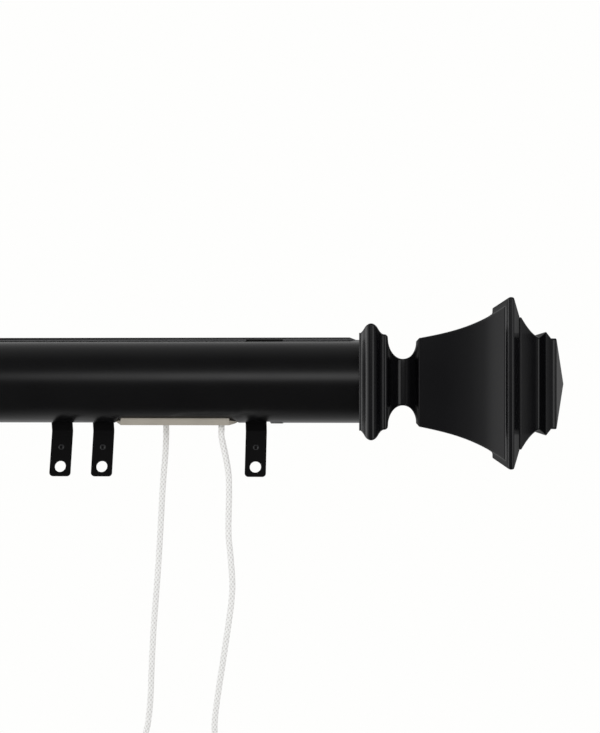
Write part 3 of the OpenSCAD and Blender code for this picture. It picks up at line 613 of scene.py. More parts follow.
def eased_copy(name, source, kind, body, width):
    """A copy of a CAD node with its triangles merged, its flat faces joined and its edges rounded."""
    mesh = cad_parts[source].data.copy()
    mesh.name = name
    with editing(mesh) as shape:
        bmesh.ops.remove_doubles(shape, verts=shape.verts, dist=SAME_PLACE)
        bmesh.ops.dissolve_limit(
            shape, angle_limit=math.radians(0.5), verts=shape.verts, edges=shape.edges)
    piece = make_piece(name, mesh, kind, body)
    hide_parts(source)
    ease_edges(piece, width)
    return piece


def dress(names, kind):
    """Gives CAD nodes their finish."""
    for name in names:
        mesh_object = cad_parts[name]
        if not mesh_object.material_slots:
            mesh_object.data.materials.append(finish(kind))
        for place in mesh_object.material_slots:
            place.material = finish(kind)


def make_camera(studio, rod):
    """The camera stands level in front of the rod, turned a little to the left."""
    lens = bpy.data.cameras.new("Camera")
    lens.sensor_width = 36
    lens.lens = lens.sensor_width * studio.focal_pixels / studio.frame_height
    lens.shift_x = studio.shift_x
    lens.shift_y = studio.shift_y
    lens.clip_start = 0.01
    camera = bpy.data.objects.new("Camera", lens)
    camera.location = (studio.camera_x, -studio.camera_back, axis_z(rod) + studio.camera_rise)
    camera.rotation_euler = (math.pi / 2, 0, studio.camera_turn)
    bpy.context.scene.collection.objects.link(camera)
    bpy.context.scene.camera = camera


def light_bands(tree, place, ends, stops):
    """The colour of a light that follows a place between two ends, by stops of place and radiance.

    The ramp holds shares of BAND_PEAK, and the light's strength gives them back.
    """
    low, high = ends
    share_along = node(tree, "ShaderNodeMapRange", {"Value": place, "From Min": low, "From Max": high})
    bands = node(tree, "ShaderNodeValToRGB", {"Fac": share_along.outputs["Result"]})
    marks = bands.color_ramp.elements
    # A new ramp has two marks, and the first one is kept for the first stop
    marks.remove(marks[1])
    for number, (spot, radiance) in enumerate(stops):
        position = (spot - low) / (high - low)
        mark = marks.new(position) if number else marks[0]
        mark.position = position
        mark.color = (*[radiance / BAND_PEAK] * 3, 1.0)
    return bands.outputs["Color"]


def fading(tree, sideways, near, far, least):
    """The strength of a light that falls from full to its least share as |x| goes from near to far."""
    fade = node(tree, "ShaderNodeMapRange", {
        "Value": sideways, "From Min": near, "From Max": far, "To Min": BAND_PEAK,
        "To Max": least * BAND_PEAK}, interpolation_type="SMOOTHSTEP")
    return fade.outputs["Result"]


def make_world():
    """A white room to the eye, with soft even light; what shines sees bands of light that run along the rod.

    The bands go by the angle round the rod, atan2(z, -y), and fade towards the rod's ends, where bands by x
    begin.
    """
    world = bpy.data.worlds.new("Studio")
    bpy.context.scene.world = world
    world.use_nodes = True
    tree = world.node_tree
    tree.nodes.clear()
    ray = node(tree, "ShaderNodeLightPath")
    place = node(tree, "ShaderNodeTexCoord")
    parts = node(tree, "ShaderNodeSeparateXYZ", {"Vector": place.outputs["Generated"]})
    front = node(tree, "ShaderNodeMath", {0: parts.outputs["Y"], 1: -1.0}, operation="MULTIPLY")
    around = node(tree, "ShaderNodeMath", {
        0: parts.outputs["Z"], 1: front.outputs["Value"]}, operation="ARCTAN2")
    degrees = node(tree, "ShaderNodeMath", {0: around.outputs["Value"]}, operation="DEGREES").outputs["Value"]
    sideways = node(tree, "ShaderNodeMath", {0: parts.outputs["X"]}, operation="ABSOLUTE").outputs["Value"]
    walls = node(tree, "ShaderNodeBackground", {
        "Color": light_bands(tree, degrees, (-180, 180), ROOM_BANDS),
        "Strength": fading(tree, sideways, *ROOM_FADE)})
    front_light = node(tree, "ShaderNodeBackground", {
        "Color": light_bands(tree, degrees, (-180, 180), FRONT_BAND),
        "Strength": fading(tree, sideways, *FRONT_FADE)})
    sides = node(tree, "ShaderNodeBackground", {
        "Color": light_bands(tree, parts.outputs["X"], (-1, 1), SIDE_BANDS), "Strength": BAND_PEAK})
    round_light = node(tree, "ShaderNodeAddShader", {
        0: walls.outputs["Background"], 1: front_light.outputs["Background"]})
    shine = node(tree, "ShaderNodeAddShader", {
        0: round_light.outputs["Shader"], 1: sides.outputs["Background"]})
    room = node(tree, "ShaderNodeBackground", {"Color": linear("#ffffff"), "Strength": ROOM_LIGHT})
    sky = node(tree, "ShaderNodeBackground", {"Color": linear(ROOM_WHITE), "Strength": 1.0})
    lit = node(tree, "ShaderNodeMixShader", {
        0: ray.outputs["Is Diffuse Ray"], 1: shine.outputs["Shader"], 2: room.outputs["Background"]})
    seen = node(tree, "ShaderNodeMixShader", {
        0: ray.outputs["Is Camera Ray"], 1: lit.outputs["Shader"], 2: sky.outputs["Background"]})
    node(tree, "ShaderNodeOutputWorld", {"Surface": seen.outputs["Shader"]})


def make_light(middle, name, place, aim, size, radiance, shines):
    """A soft box whose face has the given radiance: its power is radiance times pi times its area."""
    light = bpy.data.lights.new(name, "AREA")
    light.shape = "RECTANGLE"
    light.size = size[0]
    light.size_y = size[1]
    light.energy = radiance * math.pi * size[0] * size[1]
    box = bpy.data.objects.new(name, light)
    box.location = (place[0], place[1], place[2] + middle)
    x, y, z = np.subtract(aim, place)
    box.rotation_euler = (math.atan2(math.hypot(x, y), -z), 0, math.atan2(y, x) - math.pi / 2)
    box.visible_camera = False
    box.visible_glossy = shines
    bpy.context.scene.collection.objects.link(box)


def make_floor(studio):
    """A pale round floor that fades into the white room: points r * (cos a, sin a), r by rings.

    The fade goes by the length of (x / width, y / depth), so that the floor behind the rod is white.
    """
    hub = 0.02
    radius = 6.0
    fade_width = 1.1
    fade_depth = 0.5
    floor_z = CAD_BOX[0].z - studio.floor_gap
    rings = np.linspace(hub, radius, 24)[:, None]
    turns = np.linspace(0, math.tau, 72, endpoint=False)[None, :]
    points = np.stack([
        rings * np.cos(turns), rings * np.sin(turns), np.full_like(rings * turns, floor_z)], axis=-1)
    faces = grid_quads(rings.size, turns.size, wrap=True)[:, ::-1].tolist()
    faces.append(list(range(turns.size)))
    material, tree, shader, place = new_material("Pale studio floor")
    feed(tree, shader, {"Base Color": studio.floor, "Roughness": 0.9})
    flat = node(tree, "ShaderNodeVectorMath", {
        0: place, 1: (1 / fade_width, 1 / fade_depth, 0.0)}, operation="MULTIPLY")
    far = node(tree, "ShaderNodeVectorMath", {0: flat.outputs["Vector"]}, operation="LENGTH")
    fade = node(tree, "ShaderNodeMapRange", {
        "Value": far.outputs["Value"], "From Min": 0.5, "From Max": 1.0}, interpolation_type="SMOOTHSTEP")
    white = node(tree, "ShaderNodeEmission", {"Color": linear(ROOM_WHITE), "Strength": 1.0})
    mixed = node(tree, "ShaderNodeMixShader", {
        0: fade.outputs["Result"], 1: shader.outputs["BSDF"], 2: white.outputs["Emission"]})
    feed(tree, tree.nodes["Material Output"], {"Surface": mixed.outputs["Shader"]})
    floor = add_object("Floor", new_mesh("Floor", points, faces), material)
    floor.visible_glossy = False


class TRACK_OT_stage(bpy.types.Operator):
    """Makes the camera, the room, the soft boxes and the pale floor."""

    bl_idname = "track.stage"
    bl_label = "Stage"

    def execute(self, context):
        scene = context.scene
        rod = scene.track_rod
        make_camera(scene.track_studio, rod)
        make_world()
        for name, values in SOFT_BOXES.items():
            make_light(axis_z(rod), name, *values)
        make_floor(scene.track_studio)
        scene.view_settings.view_transform = "Standard"
        return {"FINISHED"}


def smooth_path(points, per_span=24):
    """A Catmull-Rom curve through points: each span blends its two ends and their tangents by cubics."""
    points = np.asarray(points, float)
    padded = np.concatenate([[2 * points[0] - points[1]], points, [2 * points[-1] - points[-2]]])
    before, start, end, after = padded[:-3], padded[1:-2], padded[2:-1], padded[3:]
    t = np.linspace(0, 1, per_span, endpoint=False)[:, None, None]
    curve = 0.5 * (2 * start + (end - before) * t + (2 * before - 5 * start + 4 * end - after) * t ** 2
                   + (3 * start - before - 3 * end + after) * t ** 3)
    return np.concatenate([curve.transpose(1, 0, 2).reshape(-1, 3), points[-1:]])


def even_path(points, step):
    """The same path with points at equal distances along it, and those distances."""
    same = 1e-9
    points = np.asarray(points, float)
    gaps = np.linalg.norm(np.diff(points, axis=0), axis=1)
    keep = np.concatenate([[True], gaps > same])
    points = points[keep]
    along = np.concatenate([[0], np.cumsum(gaps[keep[1:]])])
    marks = np.linspace(0, along[-1], int(round(along[-1] / step)) + 1)
    even = np.stack([np.interp(marks, along, points[:, k]) for k in range(3)], axis=1)
    return even, marks


def hank_path(cord):
    """The hank, from its left end round to its right one.

    Turn k / 24 of a loop goes down the left run, round the lower fold, up the right run and round the upper
    fold. Its half width is fold_radius + loop_step * |k - middle| / 24, drawn in at the waist by
    1 - pinch * cos(180 z / run) squared on the runs, and the layer changes on the run after the middle.
    """
    loop, run_part, fold_part = 24, 4, 8
    steps = 12
    middle = loop * cord.loops
    last = loop * (2 * cord.loops - 1) + 2 * run_part + fold_part
    k = np.linspace(0, last, last * steps + 1)
    radius = cord.fold_radius + cord.loop_step * np.abs(middle - k) / loop
    part = k % loop
    half = cord.hank_run / 2
    right_at = run_part + fold_part
    upper_at = right_at + run_part
    down = half - cord.hank_run * part / run_part
    up = cord.hank_run * (part - right_at) / run_part - half
    low_turn = math.pi + math.pi * (part - run_part) / fold_part
    high_turn = math.pi * (part - upper_at) / fold_part
    stretch = [part < run_part, part < right_at, part < upper_at]

    def waist(z):
        return 1 - cord.pinch * np.cos(math.pi * z / cord.hank_run) ** 2

    x = np.select(stretch, [-radius * waist(down), radius * np.cos(low_turn), radius * waist(up)],
                  radius * np.cos(high_turn))
    z = np.select(stretch, [down, radius * np.sin(low_turn) - half, up], radius * np.sin(high_turn) + half)
    y = cord.layer * (0.5 - np.clip((k - middle) / run_part, 0, 1))
    return np.stack([x, y, z], axis=1)


def free_cord_path(cord, rod):
    """The cord from the left exit down the left fall, through the hank and up the right fall."""
    lead = np.array([0, 0, cord.diameter])
    exit_z = PLATE_BOTTOM - axis_z(rod)
    hank = hank_path(cord) + np.array([0, 0, -cord.hank_drop])

    def fall(exit_x, exit_y, route, end):
        top = np.array([exit_x, exit_y, exit_z])
        return smooth_path(np.concatenate([
            [top, top - lead], np.array(route) * MM, [end + 2 * lead, end + lead]]))

    left = fall(-cord.left_exit, cord.run_inset, FALL_LEFT_ROUTE, hank[0])
    right = fall(cord.right_exit, -cord.run_inset, FALL_RIGHT_ROUTE, hank[-1])
    return np.concatenate([left, hank, right[::-1]]) + np.array([BLOCK_X, 0, axis_z(rod)])


def inner_cord_path(cord, rod):
    """The cord inside the rod: over the rear pulley, out round the return pulley and back over the front.

    Its runs are straight, and its bends are arcs of the pulleys' radii.
    """
    level = axis_z(rod) - cord.run_drop
    radius = cord.pulley_radius
    inset = cord.run_inset
    left_x = BLOCK_X - cord.left_exit
    right_x = BLOCK_X + cord.right_exit
    return_low, return_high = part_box("return_axle")
    return_x = (return_low.x + return_high.x) / 2
    quarter = np.linspace(0, math.pi / 2, 12)
    turn = np.linspace(0, math.pi, 24)
    rear = np.stack([
        left_x - radius + radius * np.cos(quarter), np.full(quarter.size, inset),
        level - radius + radius * np.sin(quarter)], axis=1)
    back = np.stack([
        return_x - inset * np.sin(turn), inset * np.cos(turn), np.full(turn.size, level)], axis=1)
    front = np.stack([
        right_x - radius + radius * np.sin(quarter), np.full(quarter.size, -inset),
        level - radius + radius * np.cos(quarter)], axis=1)
    start = [[left_x, inset, PLATE_BOTTOM]]
    end = [[right_x, -inset, PLATE_BOTTOM]]
    return np.concatenate([start, rear, back, front, end])


def braided_tube(name, path, cord, step, sides):
    """A braided tube: rings square to the path, whose points stand out where strands cross.

    Their radius is r + relief * (cos(stitches * a) * cos(2 pi s / pitch) - 0.5), for the angle a round the
    ring and the length s along the path. A ring's first direction is the path's direction crossed with
    (0, 1, 1), which no stretch runs along.
    """
    centres, along = even_path(path, step)
    heading = np.gradient(centres, axis=0)
    heading /= np.linalg.norm(heading, axis=1, keepdims=True)
    first = np.cross(heading, [0, 1, 1])
    first /= np.linalg.norm(first, axis=1, keepdims=True)
    second = np.cross(heading, first)
    turns = np.linspace(0, math.tau, sides, endpoint=False)[None, :]
    stitch = along[:, None] / cord.braid_pitch
    weave = np.cos(cord.stitches * turns) * np.cos(math.tau * stitch)
    radius = cord.diameter / 2 + cord.braid_relief * (weave - 0.5)
    points = (centres[:, None, :] + (radius * np.cos(turns))[:, :, None] * first[:, None, :]
              + (radius * np.sin(turns))[:, :, None] * second[:, None, :])
    rows = len(centres)
    mesh = new_mesh(name, points, tube_faces(rows, sides))
    piece = make_piece(name, mesh, "cord", "rod")
    row, column = np.mgrid[0:rows - 1, 0:sides]
    around = np.stack([column, column + 1, column + 1, column], axis=-1) / sides
    length_map = stitch[np.stack([row, row, row + 1, row + 1], axis=-1), 0]
    corners = np.zeros((len(mesh.loops), 2), np.float32)
    corners[:around.size] = np.stack([around.ravel(), length_map.ravel()], axis=1)
    mesh.uv_layers.new(name="braid").data.foreach_set("uv", corners.ravel())
    return piece, centres, float(along[-1])


def make_tie(cord, rod):
    """The tie: a flat band's rounded section carried round a stadium that clears the hank's waist."""
    gap = 0.3 * MM
    rounding = 0.35
    steps = 20
    half_width = cord.layer / 2 + cord.diameter / 2 + gap + cord.tie_thickness / 2
    straight = (cord.fold_radius + cord.loop_step * cord.loops) * (1 - cord.pinch)
    turns = np.linspace(-math.pi / 2, math.pi / 2, steps)
    right = np.stack([straight + half_width * np.cos(turns), half_width * np.sin(turns)], axis=1)
    outward = np.stack([np.cos(turns), np.sin(turns)], axis=1)
    line = np.concatenate([right, -right])
    out = np.concatenate([outward, -outward])
    section = np.linspace(0, math.tau, steps, endpoint=False)
    thick = cord.tie_thickness / 2 * np.sign(np.cos(section)) * np.abs(np.cos(section)) ** rounding
    tall = cord.tie_height / 2 * np.sign(np.sin(section)) * np.abs(np.sin(section)) ** rounding
    flat = line[:, None, :] + out[:, None, :] * thick[None, :, None]
    height = np.broadcast_to(tall[None, :, None], (len(line), section.size, 1))
    points = np.concatenate([flat, height], axis=-1)
    points = points + np.array([BLOCK_X, 0, axis_z(rod) - cord.hank_drop])
    points = np.concatenate([points, points[:1]])
    mesh = new_mesh("tie_band", points, grid_quads(len(points), section.size, wrap=True).tolist())
    tie = make_piece("tie_band", mesh, "tape", "rod")
    merge(tie.data, recalculate=True)
    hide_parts("cord_tie")
    return tie


class TRACK_OT_cord(bpy.types.Operator):
    """Makes the free cord with its hank, the tie and the runs inside the rod."""

    bl_idname = "track.cord"
    bl_label = "Draw cord"

    def execute(self, context):
        cord = context.scene.track_cord
        rod = context.scene.track_rod
        tie = make_tie(cord, rod)
        free, centres, free_length = braided_tube(
            "draw_cord", free_cord_path(cord, rod), cord, step=0.6 * MM, sides=20)
        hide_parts("cord_fall_left", "cord_fall_right", "cord_hank")
        inner, _, _ = braided_tube(
            "inner_cord", inner_cord_path(cord, rod), cord, step=0.75 * MM, sides=15)
        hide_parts("cord_run")
        return {"FINISHED"}


def gate_ends(rod):
    """Distances from the rod's middle to the near and the far end of a gate."""
    gate_x = ROD_END - rod.gate_inset
    return gate_x - rod.gate_length / 2, gate_x + rod.gate_length / 2


def rod_surface(rod):
    """The rod: points (x, r sin a, -r cos a), without the cells of the slot, the gates and the cut-out.

    The upper gates are open on the room side only. Where the cut-out slopes, its half angle is acos(-z / r)
    for a height z that falls evenly from the plate's top to its point, and the angles beside it shift along.
    """
    hair = 0.001 * MM
    slope_rows = 9
    radius = rod.diameter / 2
    middle = axis_z(rod)
    slot, gate, cut = [
        math.asin(width / 2 / radius) for width in (rod.slot_width, rod.gate_width, rod.cut_width)]
    gate_low, gate_high = gate_ends(rod)
    tip = (PLATE_HIGH.x - PLATE_LOW.x) / 2 + rod.cut_gap
    flat = tip - rod.cut_slope
    slope = np.linspace(flat, tip, slope_rows)
    half_breaks = np.array([slot, gate, cut, math.pi - gate, math.pi])
    turns = stations(np.concatenate([-half_breaks[::-1], half_breaks]), rod.turn)[:-1]
    along = stations(np.concatenate([
        [-ROD_END, -gate_high, -gate_low], BLOCK_X - slope[::-1], BLOCK_X + slope,
        [gate_low, gate_high, ROD_END]]), rod.step)
    away = np.abs(along - BLOCK_X)
    top = PLATE_HIGH.z + rod.cut_gap - middle
    low = PLATE_BOTTOM + rod.point_height + rod.cut_gap - middle
    half = np.minimum(cut, np.arccos(-np.interp(away, [flat, tip], [top, low]) / radius))
    half = np.where(away > tip + hair, cut, half)
    pull = np.sign(turns) * np.interp(np.abs(turns), [slot, cut, math.pi / 2], [0, 1, 0])
    shifted = turns[None, :] + (half - cut)[:, None] * pull[None, :]
    x = np.repeat(along[:, None], turns.size, axis=1)
    points = np.stack([x, radius * np.sin(shifted), middle - radius * np.cos(shifted)], axis=-1)
    quads = grid_quads(along.size, turns.size, wrap=True)
    plain_y = np.broadcast_to(radius * np.sin(turns), x.shape)
    plain_z = np.broadcast_to(-np.cos(turns), x.shape)
    cell_x, cell_y, cell_z = np.stack([x, plain_y, plain_z], axis=-1).reshape(-1, 3)[quads].mean(axis=1).T
    aside = np.abs(cell_y)
    below = cell_z < 0
    at_gate = (np.abs(cell_x) > gate_low) & (np.abs(cell_x) < gate_high)
    open_cell = below & (aside < rod.slot_width / 2)
    open_cell |= at_gate & (aside < rod.gate_width / 2) & (below | (cell_y < 0))
    open_cell |= below & (np.abs(cell_x - BLOCK_X) < tip) & (aside < rod.cut_width / 2)
    return points, quads[~open_cell].tolist()


def rail_seam(rod, side, start, end):
    """Painted highlight in the rail's corner: a hollow quarter round, closed behind, carried from start to end.

    Its points are y = w + r (1 - cos a) and z = z0 + r (1 - sin a), for the rail's half width w, the seam's
    radius r and the height z0 of the rod's surface at the seam's foot.
    """
    hidden = 0.1 * MM
    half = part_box("bracket_rail")[1].y
    turn = np.linspace(0, math.pi / 2, 8)
    foot = math.sqrt((rod.diameter / 2) ** 2 - (half + rod.seam) ** 2)
    y = np.concatenate([half + rod.seam * (1 - np.cos(turn)), [half - hidden, half - hidden]])
    z = np.concatenate([foot + rod.seam * (1 - np.sin(turn)), [foot - hidden, foot + rod.seam]])
    ring = np.stack([side * y, z + axis_z(rod)], axis=1)
    ends = np.broadcast_to(np.array([start, end])[:, None, None], (2, len(ring), 1))
    return np.concatenate([ends, np.broadcast_to(ring, (2, *ring.shape))], axis=-1)


def make_rail_seams(rod):
    """The painted highlight along both sides of the rail, which stops at the upper gates on the room side."""
    flat_weight = 50
    low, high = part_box("bracket_rail")
    gate_low, gate_high = gate_ends(rod)
    room, wall = -1, 1
    seams = np.stack([
        rail_seam(rod, room, low.x, -gate_high), rail_seam(rod, room, -gate_low, gate_low),
        rail_seam(rod, room, gate_high, high.x), rail_seam(rod, wall, low.x, high.x)])
    count, rows, columns = seams.shape[:3]
    faces = [
        [corner + number * rows * columns for corner in face]
        for number in range(count) for face in tube_faces(rows, columns)]
    # Light grey on the black rod: a painted highlight along the rail
    piece = make_piece("rail_seams", new_mesh("rail_seams", seams, faces), "seam", "rod")
    merge(piece.data, recalculate=True)
    keep_flat(piece, flat_weight)


class TRACK_OT_rod(bpy.types.Operator):
    """Makes the slotted rod, the bracket rail on it and the rail's rivets."""

    bl_idname = "track.rod"
    bl_label = "Rod and rail"

    def execute(self, context):
        rod = context.scene.track_rod
        mesh = new_mesh("slotted_rod", *rod_surface(rod))
        tube = make_piece("slotted_rod", mesh, "enamel", "rod")
        merge(tube.data)
        thicken(tube, rod.wall, -1)
        ease_edges(tube, rod.edge)
        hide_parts("rod_tube")
        eased_copy("rail_strip", "bracket_rail", "enamel", "rod", rod.edge)
        make_rail_seams(rod)
        dress(["rail_rivets"], "enamel")
        return {"FINISHED"}


def arc(middle, radii, from_deg, to_deg, steps):
    """Points round an ellipse: middle + (a cos t, b sin t)."""
    t = np.radians(np.linspace(from_deg, to_deg, steps + 1))
    return np.stack([middle[0] + radii[0] * np.cos(t), middle[1] + radii[1] * np.sin(t)], axis=1)


def finial_outline(shape):
    """Half widths along the finial, from the rod to the point.

    The cove up to the bead is t ** 1.5 and the curve down from it (1 - t) ** 2. The bead, the round edge, the
    neck, the rim's cove and the rim are arcs, whose first or last angles are given in degrees. The flare is
    lead * t + (1 - lead) * t ** 3 and the last hollow (1 - t) ** 1.5.
    """
    bead_end = 39
    round_start = 78
    neck_start = 10
    rim_back_start = 80
    rim_end = 20
    tip = 0.02 * MM
    base = shape.base_width / 2
    bead = shape.bead_width / 2
    collar = shape.collar_width / 2
    round_top = collar + shape.round_height
    bead_side = bead - shape.bead_drop
    bead_height = shape.bead_drop / (1 - math.sin(math.radians(bead_end)))
    bead_reach = shape.bead / 2 / math.cos(math.radians(bead_end))
    bead_at = shape.ledge + shape.cove
    fall_at = bead_at + shape.bead
    round_at = fall_at + shape.fall
    neck_at = round_at + shape.round_length
    flare_at = neck_at + shape.neck
    rim_at = flare_at + shape.flare
    rim_back = shape.rim_width / 2 - shape.rim_drop
    rim_middle = rim_at + shape.rim_back + shape.rim / 2
    bevel_at = rim_at + shape.rim_back + shape.rim
    hollow_at = bevel_at + shape.bevel + shape.lip
    groove_at = hollow_at + shape.hollow
    crown_at = groove_at + shape.cap_rise + shape.cap_fall
    t = np.linspace(0, 1, 37)
    cove = np.stack([shape.ledge + shape.cove * t, base + (bead_side - base) * t ** 1.5], axis=1)
    fall = np.stack([fall_at + shape.fall * t, round_top + (bead_side - round_top) * (1 - t) ** 2], axis=1)
    flare_rise = shape.flare_lead * t + (1 - shape.flare_lead) * t ** 3
    flare = np.stack([
        flare_at + shape.flare * t, collar + (shape.flare_width / 2 - collar) * flare_rise], axis=1)
    hollow = np.stack([
        hollow_at + shape.hollow * t,
        shape.groove_width / 2 + (shape.lip_width - shape.groove_width) / 2 * (1 - t) ** 1.5], axis=1)
    return np.concatenate([
        [[0, base]],
        cove,
        arc((bead_at + shape.bead / 2, bead - bead_height), (bead_reach, bead_height),
            180 - bead_end, bead_end, 24),
        fall,
        arc((round_at, collar), (shape.round_length, shape.round_height), round_start, 0, 6),
        arc((neck_at + shape.neck / 2, collar), (shape.neck / 2, collar - shape.neck_width / 2),
            180 + neck_start, 360 - neck_start, 24),
        flare,
        arc((rim_at, rim_back), (shape.rim_back, rim_back - shape.flare_width / 2), -rim_back_start, 0, 8),
        arc((rim_middle, rim_back), (shape.rim / 2, shape.rim_drop), 180 - rim_end, rim_end, 10),
        [[bevel_at, rim_back],
         [bevel_at + shape.bevel, shape.lip_width / 2]],
        hollow,
        [[groove_at + shape.cap_rise, shape.cap_width / 2],
         [crown_at, shape.crown_width / 2],
         [crown_at + shape.crown, shape.crown_width / 2],
         [crown_at + shape.crown + shape.point, tip]],
    ])


def eased(outline, reach):
    """The outline with each outer sharp point cut back by up to reach: (1-t)^2 a + 2t(1-t) p + t^2 b."""
    steps = 4
    sharp = math.radians(15)
    most = 0.45
    same = 1e-8
    inner = outline[1:-1]
    back = outline[:-2] - inner
    ahead = outline[2:] - inner
    back_gap = np.linalg.norm(back, axis=1, keepdims=True)
    ahead_gap = np.linalg.norm(ahead, axis=1, keepdims=True)
    straight = -(back * ahead).sum(axis=1, keepdims=True) / (back_gap * ahead_gap)
    outer = back[:, :1] * ahead[:, 1:] - back[:, 1:] * ahead[:, :1] > 0
    cut = np.minimum(reach, most * np.minimum(back_gap, ahead_gap))
    cut = np.where(outer & (straight < math.cos(sharp)), cut, 0)
    a = (inner + back / back_gap * cut)[:, None, :]
    b = (inner + ahead / ahead_gap * cut)[:, None, :]
    t = np.linspace(0, 1, steps)[None, :, None]
    curve = (1 - t) ** 2 * a + 2 * t * (1 - t) * inner[:, None, :] + t ** 2 * b
    line = np.concatenate([outline[:1], curve.reshape(-1, 2), outline[-1:]])
    apart = np.linalg.norm(np.diff(line, axis=0), axis=1) > same
    return line[np.concatenate([[True], apart])]


def square_ring():
    """Points round a unit square with round corners: a corner's middle plus its arc, then even steps onward.

    Gives the part that grows with the half width and the part that grows with the corner's radius.
    """
    arc_steps = 5
    side_steps = 6
    quarter = np.linspace(0, math.pi / 2, arc_steps)
    turns = np.concatenate([quarter + k * math.pi / 2 for k in range(4)]).reshape(4, -1)
    signs = np.array([[1, 1], [-1, 1], [-1, -1], [1, -1]], float)
    arcs = np.stack([np.cos(turns), np.sin(turns)], axis=-1)
    grow = np.repeat(signs[:, None, :], arc_steps, axis=1)
    t = (np.arange(1, side_steps) / side_steps)[None, :, None]
    side_grow = (1 - t) * signs[:, None, :] + t * np.roll(signs, -1, axis=0)[:, None, :]
    side_arc = np.repeat(arcs[:, -1:, :], side_steps - 1, axis=1)
    grow = np.concatenate([grow, side_grow], axis=1).reshape(-1, 2)
    arcs = np.concatenate([arcs, side_arc], axis=1).reshape(-1, 2)
    return grow, arcs


def make_finial(name, source, side, shape, rod):
    """A finial: the outline's half width, less the corner's radius, times a square ring, plus round corners.

    Each section is lowered by its distance from the rod times the tangent of the droop.
    """
    corner_share = 0.3
    flat_weight = 60
    outline = eased(finial_outline(shape), shape.edge)
    grow, arcs = square_ring()
    half = outline[:, 1][:, None, None]
    corner = np.minimum(shape.corner, corner_share * half)
    ring = (half - corner) * grow[None, :, :] + corner * arcs[None, :, :]
    x = side * (ROD_END + outline[:, 0])[:, None, None]
    points = np.concatenate([np.broadcast_to(x, (*ring.shape[:2], 1)), ring], axis=-1)
    points[..., 2] += axis_z(rod) - outline[:, :1] * math.tan(shape.droop)
    mesh = new_mesh(name, points, tube_faces(*ring.shape[:2]))
    piece = make_piece(name, mesh, "lacquer", "rod")
    merge(mesh, recalculate=True)
    keep_flat(piece, flat_weight)
    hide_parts(source)


class TRACK_OT_finials(bpy.types.Operator):
    """Makes the two square finials."""

    bl_idname = "track.finials"
    bl_label = "Finials"

    def execute(self, context):
        shape = context.scene.track_finial
        rod = context.scene.track_rod
        make_finial("square_finial_right", "finial_right", 1, shape, rod)
        make_finial("square_finial_left", "finial_left", -1, shape, rod)
        return {"FINISHED"}


def hook_flat(hook, width):
    """The hook's flat blank in (across, down) from the pivot: a grid above, and rays round the eye below.

    A ray's point is eye + eye_radius * u + t * (edge - eye - eye_radius * u), for the unit vector u to the
    edge. The grid starts inside the knuckle.
    """
    step = 0.4 * MM
    columns = 25
    eye_room = 0.2 * MM
    start_share = 0.8
    half = width / 2
    low = hook.neck + hook.leaf
    eye = np.array([0, low - hook.eye_inset])
    join = eye[1] - (half + eye_room)
    across = np.linspace(-half, half, columns)
    down = np.linspace(start_share * hook.knuckle, join, int((join - hook.knuckle) / step))
    upper = np.stack(np.meshgrid(across, down), axis=-1)
    inset = half - hook.corner
    corner_at = low - hook.corner
    side = np.linspace(join, corner_at, 18)
    turn = np.linspace(0, math.pi / 2, 9)
    foot = np.linspace(inset, -inset, 16)
    right = np.stack([np.full(side.size, half), side], axis=1)
    right_corner = np.stack([
        inset + hook.corner * np.cos(turn), corner_at + hook.corner * np.sin(turn)], axis=1)
    bottom = np.stack([foot, np.full(foot.size, low)], axis=1)
    mirror = np.array([-1, 1])
    edge = np.concatenate([
        np.stack([across, np.full(columns, join)], axis=1), right[1:], right_corner[1:], bottom[1:],
        (right_corner[::-1] * mirror)[1:], (right[::-1] * mirror)[1:-1]])
    ray = edge - eye
    start = eye + hook.eye / 2 * ray / np.linalg.norm(ray, axis=1, keepdims=True)
    t = np.linspace(0, 1, 7)[:, None, None]
    lower = start + t * (edge - start)
    return upper, lower


